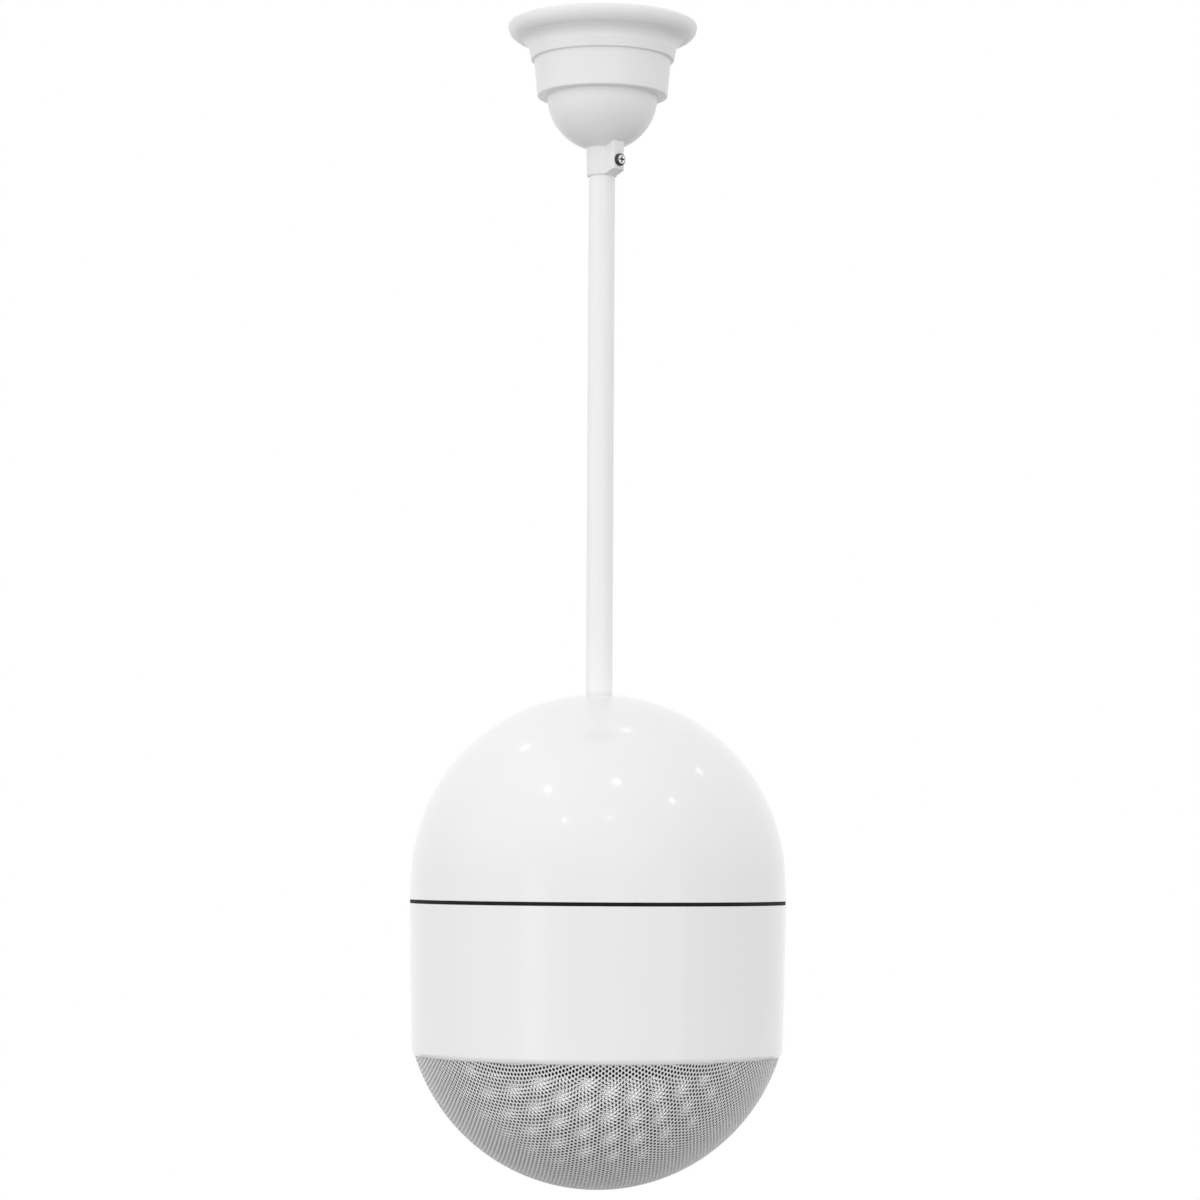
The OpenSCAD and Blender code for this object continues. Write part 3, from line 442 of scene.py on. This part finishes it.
def pressed_paper(name, light, dark, fibre_scale=260.0):
    """Paper pulp pressed in a mould: felted fibres and darker flecks."""
    material, tree, shader, where = blank(name, 0.85)
    felt = noise(tree, where, fibre_scale, 8.0, 0.7)
    fleck = knot(tree, "ShaderNodeTexVoronoi", {"Vector": where, "Scale": fibre_scale * 2}).outputs["Distance"]
    surface(tree, shader, tinted(tree, felt, dark, light), spread(tree, felt, 0.75, 0.95))
    low = relief(tree, shader, felt, 6e-5)
    relief(tree, shader, fleck, 2e-5, low)
    return material


def cone_paper():
    return pressed_paper("dark_cone_paper", (0.10, 0.10, 0.105), (0.05, 0.05, 0.055))


def whizzer_paper():
    return pressed_paper("grey_whizzer_paper", (0.26, 0.26, 0.27), (0.16, 0.16, 0.17))


def coil_paper():
    return pressed_paper("brown_former_paper", (0.66, 0.48, 0.28), (0.52, 0.36, 0.2), 400.0)


def bands(tree, where, axis, pitch, sharp=False):
    """A wave along one axis with a given pitch in metres."""
    return knot(tree, "ShaderNodeTexWave", {"Vector": where, "Scale": math.pi / 10 / pitch},
                wave_type="BANDS", bands_direction=axis, wave_profile="SAW" if sharp else "SIN").outputs["Fac"]


def copper_wire():
    """Enamelled copper wire laid turn on turn round the former."""
    material, tree, shader, where = blank("enamelled_copper_wire", 0.25, metal=1.0)
    turns = bands(tree, where, "Z", 0.00025)
    cloud = noise(tree, where, 120.0)
    surface(tree, shader, tinted(tree, cloud, (0.6, 0.22, 0.1), (0.78, 0.36, 0.17)), spread(tree, turns, 0.2, 0.38))
    relief(tree, shader, turns, 6e-5)
    return material


def spider_cloth():
    """Plain-woven cotton stiffened with amber resin."""
    material, tree, shader, where = blank("resin_stiffened_cotton", 0.7)
    warp, weft = bands(tree, where, "X", 0.0007), bands(tree, where, "Y", 0.0007)
    weave = sums(tree, "MULTIPLY", warp, weft)
    stain = noise(tree, where, 70.0, 5.0)
    surface(tree, shader, tinted(tree, stain, (0.62, 0.4, 0.14), (0.76, 0.54, 0.24)), spread(tree, weave, 0.6, 0.85))
    relief(tree, shader, weave, 1.2e-4)
    return material


def sintered_ferrite():
    """Dark sintered ferrite with its ground grain and small pits."""
    material, tree, shader, where = blank("sintered_ferrite", 0.62)
    grain = noise(tree, where, 1100.0, 6.0, 0.7)
    pits = knot(tree, "ShaderNodeTexVoronoi", {"Vector": where, "Scale": 320.0}).outputs["Distance"]
    surface(tree, shader, tinted(tree, grain, (0.045, 0.045, 0.05), (0.085, 0.085, 0.09)), spread(tree, grain, 0.5, 0.75))
    low = relief(tree, shader, grain, 3e-5)
    relief(tree, shader, pits, 4e-5, low)
    return material


def phenolic_board():
    """Brown phenolic paper board, with the paper's fibres under the resin."""
    material, tree, shader, where = blank("brown_phenolic_board", 0.45)
    fibre = noise(tree, where, 200.0, 6.0, 0.65, stretch=(1.0, 4.0, 1.0))
    surface(tree, shader, tinted(tree, fibre, (0.24, 0.12, 0.05), (0.38, 0.21, 0.1)), spread(tree, fibre, 0.38, 0.55))
    relief(tree, shader, fibre, 2e-5)
    return material


def natural_nylon():
    """Natural nylon, milky, with the drag marks of its mould."""
    material, tree, shader, where = blank("natural_moulded_nylon", 0.42)
    shader.inputs["Subsurface Weight"].default_value = 0.15
    shader.inputs["Subsurface Scale"].default_value = 0.002
    milk = noise(tree, where, 80.0, 4.0)
    drag = noise(tree, where, 300.0, 3.0, stretch=(1.0, 1.0, 0.1))
    surface(tree, shader, tinted(tree, milk, (0.78, 0.76, 0.69), (0.86, 0.84, 0.78)), spread(tree, drag, 0.36, 0.5))
    relief(tree, shader, drag, 2e-5)
    return material


def varnished_laminations():
    """A stack of half-millimetre steel sheets under clear varnish, with rust-brown edges."""
    material, tree, shader, where = blank("varnished_laminations", 0.4, metal=0.6, coat=0.3)
    sheets = bands(tree, where, "Y", 0.0005)
    rust = noise(tree, where, 90.0, 6.0, 0.7)
    surface(tree, shader, tinted(tree, rust, (0.3, 0.31, 0.33), (0.24, 0.17, 0.12), 0.5, 0.8), spread(tree, sheets, 0.34, 0.5))
    relief(tree, shader, sheets, 6e-5)
    return material


def winding_tape():
    """Yellow tape over the winding, with overlapping edges and the wire showing through."""
    material, tree, shader, where = blank("yellow_winding_tape", 0.35, coat=0.2)
    laps = bands(tree, where, "Z", 0.009, sharp=True)
    wires = bands(tree, where, "Z", 0.0006)
    crease = noise(tree, where, 150.0, 4.0)
    surface(tree, shader, tinted(tree, crease, (0.72, 0.52, 0.08), (0.82, 0.66, 0.16)), spread(tree, crease, 0.3, 0.48))
    low = relief(tree, shader, wires, 3e-5)
    relief(tree, shader, laps, 8e-5, low)
    return material


FINISHES = {
    "canopy_white": canopy_white,
    "shell_white": shell_white,
    "tube_white": tube_coat,
    "grille_white": grille_coat,
    "chrome": screw_chrome,
    "zinc_steel": zinc_plate,
    "black_steel": black_plate,
    "basket_grey": basket_paint,
    "cast_zinc": cast_zinc,
    "brass": turned_brass,
    "black_rubber": black_rubber,
    "black_foam": black_foam,
    "cone_paper": cone_paper,
    "whizzer_paper": whizzer_paper,
    "coil_paper": coil_paper,
    "copper": copper_wire,
    "spider_cloth": spider_cloth,
    "ferrite": sintered_ferrite,
    "phenolic": phenolic_board,
    "block_nylon": natural_nylon,
    "lamination": varnished_laminations,
    "tape_yellow": winding_tape,
}
LOOK = {slot: make() for slot, make in FINISHES.items()}


def dress_inner_parts():
    """Gives each kept CAD node the finish of its slot."""
    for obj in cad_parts.values():
        for place in obj.material_slots:
            wanted = place.material.name.split(".")[0] if place.material else ""
            if wanted in LOOK:
                place.material = LOOK[wanted]


# ---- The perforated dome, in Geometry Nodes ----

def named_inputs(tree, sizes):
    """Adds the tree's inputs by name and gives back their identifiers."""
    kinds = {"Geometry": "NodeSocketGeometry", "Material": "NodeSocketMaterial",
             "Inner Material": "NodeSocketMaterial"}
    found = {}
    for name, default in sizes.items():
        socket = tree.interface.new_socket(name, in_out="INPUT", socket_type=kinds.get(name, "NodeSocketFloat"))
        if name not in kinds:
            socket.default_value = default
        found[name] = socket.identifier
    tree.interface.new_socket("Geometry", in_out="OUTPUT", socket_type="NodeSocketGeometry")
    return found


def xyz(tree, x, y, z=0.0):
    return knot(tree, "ShaderNodeCombineXYZ", {"X": x, "Y": y, "Z": z}).outputs[0]


def moved_to(tree, geometry, position, selection=None):
    inputs = {"Geometry": geometry, "Position": position}
    if selection is not None:
        inputs["Selection"] = selection
    return knot(tree, "GeometryNodeSetPosition", inputs).outputs[0]


def lattice_place(tree, u, v, pitch):
    """A place on the sheet: one step of u goes front to back, and one of v goes to the next row at 60 degrees."""
    along = sums(tree, "MULTIPLY", sums(tree, "MULTIPLY_ADD", v, 0.5, u), pitch)
    across = sums(tree, "MULTIPLY", sums(tree, "MULTIPLY", v, math.sqrt(3) / 2), pitch)
    return xyz(tree, across, along)


def punched_cell(tree, pitch, hole):
    """One lattice cell of sheet with a round hole: an octagon drawn out to the cell's corners and mid-sides."""
    circle = knot(tree, "GeometryNodeMeshCircle", {"Vertices": 8, "Radius": sums(tree, "MULTIPLY", hole, 0.5)})
    drawn = knot(tree, "GeometryNodeExtrudeMesh", {
        "Mesh": circle.outputs[0], "Offset": knot(tree, "GeometryNodeInputPosition").outputs[0], "Offset Scale": 0.3,
    }, mode="EDGES")
    parts = knot(tree, "ShaderNodeSeparateXYZ", {
        0: knot(tree, "ShaderNodeVectorMath", {0: knot(tree, "GeometryNodeInputPosition").outputs[0]},
                operation="NORMALIZE").outputs[0],
    })
    u = sums(tree, "MULTIPLY", sums(tree, "ROUND", parts.outputs[1]), 0.5)
    v = sums(tree, "MULTIPLY", sums(tree, "ROUND", parts.outputs[0]), 0.5)
    return moved_to(tree, drawn.outputs["Mesh"], lattice_place(tree, u, v, pitch), drawn.outputs["Top"])


def lattice_points(tree, pitch, reach, start, end):
    """The cells' places inside the sheet's radius and inside one sector of it."""
    side = 2 * int(GRILLE_R / HOLE_PITCH * 1.7) + 1
    grid = knot(tree, "GeometryNodeMeshGrid", {
        "Size X": side - 1, "Size Y": side - 1, "Vertices X": side, "Vertices Y": side,
    }).outputs[0]
    whole = knot(tree, "ShaderNodeSeparateXYZ", {0: knot(tree, "GeometryNodeInputPosition").outputs[0]})
    sheared = moved_to(tree, grid, lattice_place(tree, whole.outputs[0], whole.outputs[1], pitch))
    here = knot(tree, "GeometryNodeInputPosition").outputs[0]
    far = knot(tree, "ShaderNodeVectorMath", {0: here}, operation="LENGTH").outputs["Value"]
    parts = knot(tree, "ShaderNodeSeparateXYZ", {0: here})
    angle = sums(tree, "ARCTAN2", parts.outputs[1], parts.outputs[0])
    outside = sums(tree, "GREATER_THAN", far, reach)
    before = sums(tree, "LESS_THAN", angle, start)
    after = sums(tree, "SUBTRACT", 1.0, sums(tree, "LESS_THAN", angle, end))
    unwanted = sums(tree, "MAXIMUM", outside, sums(tree, "MAXIMUM", before, after))
    return knot(tree, "GeometryNodeDeleteGeometry", {"Geometry": sheared, "Selection": unwanted},
                domain="POINT").outputs[0]


def pressed_into_dome(tree, sheet, socket):
    """Moves the flat sheet on to the dome: its radius becomes an angle from the pole, and past the edge a skirt."""
    here = knot(tree, "GeometryNodeInputPosition").outputs[0]
    far = knot(tree, "ShaderNodeVectorMath", {0: here}, operation="LENGTH").outputs["Value"]
    parts = knot(tree, "ShaderNodeSeparateXYZ", {0: here})
    share = sums(tree, "MINIMUM", sums(tree, "DIVIDE", far, socket["Edge Radius"]), 1.0)
    angle = sums(tree, "MULTIPLY", sums(tree, "POWER", share, socket["Draw Power"]), socket["Edge Angle"])
    radius = sums(tree, "MULTIPLY", sums(tree, "SINE", angle), socket["Ball Radius"])
    past = sums(tree, "MAXIMUM", sums(tree, "SUBTRACT", far, socket["Edge Radius"]), 0.0)
    hang = sums(tree, "MULTIPLY", sums(tree, "COSINE", angle), socket["Ball Radius"])
    z = sums(tree, "ADD", sums(tree, "SUBTRACT", socket["Ball Height"], hang), past)
    scale = sums(tree, "DIVIDE", radius, far)
    on_dome = xyz(
        tree,
        sums(tree, "MULTIPLY", parts.outputs[0], scale),
        sums(tree, "MULTIPLY", parts.outputs[1], scale),
        z,
    )
    turned = knot(tree, "ShaderNodeVectorRotate", {"Vector": on_dome, "Angle": socket["Turn"]},
                  rotation_type="Z_AXIS").outputs[0]
    return moved_to(tree, sheet, turned)


def given_thickness(tree, skin, thickness):
    """A wall behind the skin: the skin is pushed in, turned over and joined to itself along every edge."""
    inward = sums(tree, "MULTIPLY", thickness, -1.0)
    pushed = knot(tree, "GeometryNodeExtrudeMesh", {"Mesh": skin, "Offset Scale": inward, "Individual": False},
                  mode="FACES").outputs["Mesh"]
    turned = knot(tree, "GeometryNodeFlipFaces", {"Mesh": pushed}).outputs[0]
    joined = knot(tree, "GeometryNodeJoinGeometry")
    tree.links.new(turned, joined.inputs[0])
    tree.links.new(skin, joined.inputs[0])
    return knot(tree, "GeometryNodeMergeByDistance", {"Geometry": joined.outputs[0], "Distance": 2e-5}).outputs[0]


def perforated_tree():
    """The tree that punches a sheet, presses it and gives it its wall."""
    tree = bpy.data.node_groups.new("perforated_dome", "GeometryNodeTree")
    found = named_inputs(tree, {
        "Geometry": None, "Hole Pitch": 0.002, "Hole Diameter": 0.001, "Edge Radius": 0.1, "Skirt": 0.002,
        "Ball Radius": 0.1, "Ball Height": 0.0, "Edge Angle": 1.0, "Draw Power": 1.0, "Thickness": 0.001, "Turn": 0.0,
        "Sector Start": -3.15, "Sector End": 3.15, "Material": None, "Inner Material": None,
    })
    socket = tree.nodes.new("NodeGroupInput").outputs
    reach = sums(tree, "ADD", socket["Edge Radius"], socket["Skirt"])
    cells = knot(tree, "GeometryNodeInstanceOnPoints", {
        "Points": lattice_points(tree, socket["Hole Pitch"], reach, socket["Sector Start"], socket["Sector End"]),
        "Instance": punched_cell(tree, socket["Hole Pitch"], socket["Hole Diameter"]),
    }).outputs[0]
    sheet = knot(tree, "GeometryNodeMergeByDistance", {
        "Geometry": knot(tree, "GeometryNodeRealizeInstances", {"Geometry": cells}).outputs[0], "Distance": 2e-5,
    }).outputs[0]
    facing_down = knot(tree, "GeometryNodeFlipFaces", {"Mesh": sheet}).outputs[0]
    dome = given_thickness(tree, pressed_into_dome(tree, facing_down, socket), socket["Thickness"])
    flat = sums(tree, "LESS_THAN", knot(tree, "GeometryNodeInputMeshEdgeAngle").outputs[0], math.radians(40))
    crisp = knot(tree, "GeometryNodeSetShadeSmooth", {"Geometry": dome, "Shade Smooth": flat}, domain="EDGE")
    real = knot(tree, "GeometryNodeRealizeInstances", {"Geometry": crisp.outputs[0]})
    coated = knot(tree, "GeometryNodeSetMaterial", {"Geometry": real.outputs[0], "Material": socket["Material"]})
    from_centre = knot(tree, "ShaderNodeVectorMath", {
        0: knot(tree, "GeometryNodeInputPosition").outputs[0], 1: xyz(tree, 0.0, 0.0, socket["Ball Height"]),
    }, operation="SUBTRACT").outputs[0]
    facing = knot(tree, "ShaderNodeVectorMath", {
        0: knot(tree, "GeometryNodeInputNormal").outputs[0], 1: from_centre,
    }, operation="DOT_PRODUCT").outputs["Value"]
    # The inward faces and the hole walls get the inner material, which is painted shade.
    inside = sums(tree, "LESS_THAN", facing, sums(tree, "MULTIPLY", socket["Ball Radius"], 0.4))
    both = knot(tree, "GeometryNodeSetMaterial", {
        "Geometry": coated.outputs[0], "Selection": inside, "Material": socket["Inner Material"],
    })
    out = tree.nodes.new("NodeGroupOutput")
    tree.links.new(both.outputs[0], out.inputs[0])
    return tree, found


def made_by(tree, found, name, values):
    """Runs a tree once with its inputs set and gives back a plain mesh object."""
    base = bpy.data.objects.new(name + "_base", bpy.data.meshes.new(name + "_base"))
    bpy.context.scene.collection.objects.link(base)
    modifier = base.modifiers.new("make", "NODES")
    modifier.node_group = tree
    for key, value in values.items():
        modifier[found[key]] = value
    ready = base.evaluated_get(bpy.context.evaluated_depsgraph_get())
    data = bpy.data.meshes.new_from_object(ready)
    data.name = name
    base.modifiers.clear()
    bpy.data.objects.remove(base)
    obj = bpy.data.objects.new(name, data)
    bpy.context.scene.collection.objects.link(obj)
    return obj


def perforated_dome():
    """The grille's dome and the start of its skirt, in sectors that meet along their cells."""
    tree, found = perforated_tree()
    # The inside of the grille gets a material of painted shade.
    inside_painted_shade = painted_grille_shade()
    edges = [math.pi * (2 * k / SECTORS - 1) for k in range(SECTORS)] + [math.pi + 1e-5]
    for k in range(SECTORS):
        dome = made_by(tree, found, f"grille_dome_{k + 1}", {
            "Hole Pitch": HOLE_PITCH * MM, "Hole Diameter": HOLE_D * MM, "Edge Radius": GRILLE_R * MM,
            "Skirt": SKIRT * MM, "Ball Radius": GRILLE_BALL_R * MM, "Ball Height": GRILLE_BALL_Z * MM,
            "Edge Angle": GRILLE_EDGE_ANGLE, "Draw Power": DRAW_POWER, "Thickness": GRILLE_T * MM,
            "Turn": math.radians(LATTICE_TURN), "Sector Start": edges[k], "Sector End": edges[k + 1],
            "Material": LOOK["grille_white"], "Inner Material": inside_painted_shade,
        })
        seated(dome, "housing", ["grille"])


def grille_flange():
    """The plain end of the skirt with its inturned flange, inside the lower shell's edge."""
    inner, outer = GRILLE_R - 2 * GRILLE_T, GRILLE_R - GRILLE_T
    outline = eased([
        (outer, EDGE_Z + 0.6, 0.1), (outer, BAFFLE_Z, 0.7), (GRILLE_FLANGE_R, BAFFLE_Z, 0.1),
        (GRILLE_FLANGE_R, BAFFLE_Z - GRILLE_T, 0.1), (inner, BAFFLE_Z - GRILLE_T, 0.3), (inner, EDGE_Z + 0.6, 0.1),
    ], 4)
    mesh = bmesh.new()
    turn_outline(mesh, outline, 192)
    finished("grille_flange", mesh, LOOK["grille_white"], "housing", ["grille"])


# ---- Shells ----

def upper_shell():
    """The glossy dome with its straight lip, the boss round the tube and the four screw columns."""
    hole_r = TUBE_R + 0.1
    top = math.degrees(math.acos(hole_r / DOME_R))
    inner_r = DOME_R - WALL
    boss_r, boss_z = 34.0, -DROP - 11.0
    boss_top = math.degrees(math.acos(boss_r / inner_r))
    outer = bend((0, DOME_Z), DOME_R, top - 0.35, 0, 96)
    inner = bend((0, DOME_Z), inner_r, 0, boss_top, 72)
    lip = eased([(SEAM_R, LIP_Z, 0.35), (SEAM_R - WALL, LIP_Z, 0.2), (SEAM_R - WALL, DOME_Z, 0), (SEAM_R, DOME_Z, 0)])
    lip = [p for p in lip if p[1] < DOME_Z - 1]
    outline = outer + lip + inner
    outline += [(boss_r, boss_z), (hole_r, boss_z), (hole_r, DOME_Z + DOME_R * math.sin(math.radians(top)) - 0.5)]
    mesh = bmesh.new()
    turn_outline(mesh, outline, 256)
    for k in range(4):
        a = math.radians(45 + 90 * k)
        place = Matrix.Translation((PILLAR_C * MM * math.cos(a), PILLAR_C * MM * math.sin(a), 0))
        roof = DOME_Z + math.sqrt((inner_r + 1.2) ** 2 - (PILLAR_C + PILLAR_R) ** 2)
        bore = 2.0
        column = eased([
            (PILLAR_R, LIP_Z + 2, 0.4), (PILLAR_R, roof, 0), (bore, roof, 0), (bore, LIP_Z + 2, 0.2),
        ], 3)
        turn_outline(mesh, column, 48, place)
    finished("upper_shell_moulding", mesh, LOOK["shell_white"], "housing", ["upper_shell"])


def seam_seal():
    """The black seal in the seam, a flat ring with a softly rounded outer lip."""
    inner, outer = SEAM_R - WALL - 0.25, SEAM_R - 0.4
    outline = eased([
        (outer, SEAL_Z, 0.45), (outer, LIP_Z, 0.45), (inner, LIP_Z, 0.1), (inner, SEAL_Z, 0.1),
    ])
    mesh = bmesh.new()
    turn_outline(mesh, outline, 256)
    finished("seam_seal_ring", mesh, LOOK["black_rubber"], "housing", ["seam_seal"])


def stem_tube():
    """The coated tube, with its edges broken at both ends."""
    inner = TUBE_R - TUBE_WALL
    outline = eased([
        (TUBE_R, TUBE_END_Z, 0.3), (TUBE_R, TUBE_TOP_Z, 0.3), (inner, TUBE_TOP_Z, 0.2), (inner, TUBE_END_Z, 0.2),
    ], 3)
    mesh = bmesh.new()
    turn_outline(mesh, outline, 96)
    finished("stem_tube_coated", mesh, LOOK["tube_white"], "housing", ["stem_tube"])


# ---- Soft rings of the driver, which stretch between the basket and the cone ----

SOFT_SECTORS = 16


def soft_ring(name, outline, material, node):
    """A ring of closed sectors. Each one follows the housing at its rim and the cone at its inner edge."""
    steps = 12
    count = len(outline)
    for k in range(SOFT_SECTORS):
        first = 2 * math.pi * k / SOFT_SECTORS
        span = 2 * math.pi / SOFT_SECTORS
        mesh = bmesh.new()
        ribs = []
        for i in range(steps + 1):
            a = first + span * i / steps
            ribs.append([mesh.verts.new((r * MM * math.cos(a), r * MM * math.sin(a), z * MM)) for r, z in outline])
        for one, two in zip(ribs, ribs[1:]):
            for j in range(count):
                mesh.faces.new((one[j], two[j], two[(j + 1) % count], one[(j + 1) % count]))
        mesh.faces.new(ribs[0])
        mesh.faces.new(ribs[-1])
        piece = closed(f"{name}_{k + 1}", mesh, material, 32)
        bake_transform(piece)
        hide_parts(node)


def surround_ring():
    """The rubber half roll with its glued edge and the land that the cone is glued on."""
    middle_r = CONE_R + 0.5 + ROLL_R
    low = FLANGE_LOW_Z - SURROUND_T
    outer = bend((middle_r, low), ROLL_R, 0, -180, 22)
    inner = bend((middle_r, FLANGE_LOW_Z), ROLL_R - SURROUND_T, -180, 0, 22)
    outline = [(SURROUND_OUT_R, FLANGE_LOW_Z), (SURROUND_OUT_R, low)] + outer + [(CONE_R - 4, low), (CONE_R - 4, FLANGE_LOW_Z)] + inner
    soft_ring("surround_sector", outline, LOOK["black_rubber"], "surround")


def spider_ring():
    """The corrugated cloth that centres the coil."""
    inner_r = FORMER_OUT_R + 0.05
    wave_in, wave_out, waves, depth, cloth = inner_r + 2.5, BASKET_NECK_R - 1, 5, 0.8, 0.4
    middle = []
    for i in range(12 * waves + 1):
        u = i / (12 * waves)
        middle.append((wave_in + (wave_out - wave_in) * u, LEDGE_Z - cloth - depth * math.sin(2 * math.pi * waves * u)))
    rim = BASKET_NECK_R + 7
    outline = [(inner_r, LEDGE_Z - cloth)] + middle + [(rim, LEDGE_Z - cloth), (rim, LEDGE_Z)]
    outline += [(r, z + cloth) for r, z in reversed(middle)] + [(inner_r, LEDGE_Z)]
    soft_ring("spider_sector", outline, LOOK["spider_cloth"], "spider")


# ---- Camera, light and floor ----

WORLD_LEVEL = 0.86
FRAME_PX = 1200
FOCAL_PX = 3700
SENSOR = 36.0
CAMERA_Y = -2.221
CAMERA_Z = -0.504
AIM_UP = 3.93
AIM_RIGHT = 0.007
CAMERA_ROLL = 0.32


def camera():
    """A long lens at the height of the stem, tilted up a little and rolled by a third of a degree."""
    data = bpy.data.cameras.new("camera")
    data.sensor_width = SENSOR
    data.lens = FOCAL_PX * SENSOR / FRAME_PX
    data.clip_start, data.clip_end = 0.1, 60
    obj = bpy.data.objects.new("camera", data)
    bpy.context.scene.collection.objects.link(obj)
    level = Matrix.Rotation(math.radians(90 + AIM_UP), 4, "X")
    pan = Matrix.Rotation(math.radians(-AIM_RIGHT), 4, "Z")
    roll = Matrix.Rotation(math.radians(CAMERA_ROLL), 4, "Z")
    obj.matrix_world = Matrix.Translation((0, CAMERA_Y, CAMERA_Z)) @ pan @ level @ roll
    bpy.context.scene.camera = obj


def soft_lamp(name, place, aim, size, watts):
    """A square softbox."""
    data = bpy.data.lights.new(name, "AREA")
    data.shape = "RECTANGLE"
    data.size, data.size_y = size
    data.energy = watts
    obj = bpy.data.objects.new(name, data)
    bpy.context.scene.collection.objects.link(obj)
    obj.location = place
    obj.rotation_euler = (Vector(aim) - Vector(place)).to_track_quat("-Z", "Y").to_euler()
    obj.visible_camera = False
    return obj


def studio_world():
    """White for the camera and for reflections, and a plain level of light for everything else."""
    world = bpy.data.worlds.new("studio")
    bpy.context.scene.world = world
    world.use_nodes = True
    tree = world.node_tree
    tree.nodes.clear()
    path = knot(tree, "ShaderNodeLightPath")
    seen = sums(tree, "MAXIMUM", path.outputs["Is Camera Ray"],
                sums(tree, "MAXIMUM", path.outputs["Is Glossy Ray"], path.outputs["Is Transmission Ray"]))
    strength = spread(tree, seen, WORLD_LEVEL, 1.0)
    back = knot(tree, "ShaderNodeBackground", {"Color": (1, 1, 1, 1), "Strength": strength})
    out = knot(tree, "ShaderNodeOutputWorld")
    tree.links.new(back.outputs[0], out.inputs[0])


FLOOR_Z = -3.2
FLOOR_R = 9.0


def studio_floor():
    """A pale round floor below the hanging loudspeaker, which fades to white at its edge."""
    mesh = bmesh.new()
    bmesh.ops.create_circle(mesh, cap_ends=True, radius=FLOOR_R, segments=96)
    bmesh.ops.translate(mesh, verts=mesh.verts, vec=(0, 0, FLOOR_Z))
    data = bpy.data.meshes.new("floor")
    mesh.to_mesh(data)
    mesh.free()
    material, tree, shader, where = blank("pale_floor", 0.8)
    surface(tree, shader, tinted(tree, noise(tree, where, 3.0), (0.49, 0.49, 0.49), (0.505, 0.505, 0.505)),
            spread(tree, noise(tree, where, 20.0), 0.75, 0.9))
    seen = knot(tree, "ShaderNodeLightPath").outputs["Is Camera Ray"]
    white = knot(tree, "ShaderNodeEmission", {"Color": (1, 1, 1, 1), "Strength": spread(tree, seen, 0.5, 1.0)})
    far = knot(tree, "ShaderNodeVectorMath", {0: where}, operation="LENGTH").outputs["Value"]
    fade = knot(tree, "ShaderNodeMapRange", {"Value": far, "From Min": 5.0, "From Max": FLOOR_R - 0.5},
                interpolation_type="SMOOTHSTEP").outputs[0]
    mix = knot(tree, "ShaderNodeMixShader", {0: fade, 1: shader.outputs[0], 2: white.outputs[0]})
    out = next(n for n in tree.nodes if n.type == "OUTPUT_MATERIAL")
    tree.links.new(mix.outputs[0], out.inputs[0])
    data.materials.append(material)
    obj = bpy.data.objects.new("floor", data)
    bpy.context.scene.collection.objects.link(obj)


# Grey cards out of the picture on the right: name, place, what it faces, width and height
FLAGS = (
    ("flag_low", (0.95, -0.55, -1.4), (0, 0, -0.7), 1.3, 1.2),
    ("flag_canopy", (0.66, -0.32, -0.12), (0, 0, -0.05), 0.52, 0.5),
)


def studio_flags():
    """The cards keep some light off the right side, as the photo's shading shows."""
    material, tree, shader, where = blank("grey_card", 0.9)
    surface(tree, shader, tinted(tree, noise(tree, where, 9.0), (0.2, 0.2, 0.2), (0.25, 0.25, 0.25)),
            spread(tree, noise(tree, where, 30.0), 0.85, 0.95))
    for name, place, aim, width, height in FLAGS:
        mesh = bmesh.new()
        corners = [(-1, -1), (1, -1), (1, 1), (-1, 1)]
        mesh.faces.new([mesh.verts.new((x * width / 2, y * height / 2, 0)) for x, y in corners])
        data = bpy.data.meshes.new(name)
        mesh.to_mesh(data)
        mesh.free()
        data.materials.append(material)
        obj = bpy.data.objects.new(name, data)
        bpy.context.scene.collection.objects.link(obj)
        obj.location = place
        obj.rotation_euler = (Vector(aim) - Vector(place)).to_track_quat("-Z", "Y").to_euler()
        obj.visible_glossy = False
        obj.visible_camera = False


# The room's ceiling lamps, as they show in the gloss of the dome: place and watts of each
ROOM_LAMPS = (
    (-1.1, 0.6, 0.2), (0.36, 0.6, 0.12), (1.82, 0.6, 0.2),
    (-1.1, -1.04, 0.45), (0.36, -1.04, 0.34), (1.82, -1.04, 0.4),
    (-1.1, -2.5, 0.4), (0.36, -2.5, 0.35),
)
ROOM_LAMPS_Z = 1.48
ROOM_LAMP_D = 0.16


def room_lamps():
    """Rows of round lamps above, small enough to be points of light in the gloss."""
    for x, y, watts in ROOM_LAMPS:
        lamp = soft_lamp("room_lamp", (x, y, ROOM_LAMPS_Z), (0, 0, -0.5), (ROOM_LAMP_D, ROOM_LAMP_D), watts)
        lamp.data.shape = "DISK"


def studio():
    bpy.context.scene.view_settings.view_transform = "Standard"
    studio_world()
    studio_floor()
    studio_flags()
    room_lamps()
    for lamp in (
        soft_lamp("key_left", (-3.77, -1.0, 0.2), (0, 0, -0.5), (2.7, 2.7), 18),
        soft_lamp("front_fill", (1.3, -3.6, 0.0), (0, 0, -0.5), (2.7, 2.7), 32),
    ):
        lamp.visible_glossy = False
    soft_lamp("panel_left", (-1.87, -2.35, -0.74), (0, 0, -0.52), (0.79, 1.17), 1.4)
    soft_lamp("panel_right", (2.16, -2.08, -0.74), (0, 0, -0.52), (0.6, 1.17), 1.0)


camera()
studio()
dress_inner_parts()
perforated_dome()
grille_flange()
upper_shell()
seam_seal()
stem_tube()
surround_ring()
spider_ring()
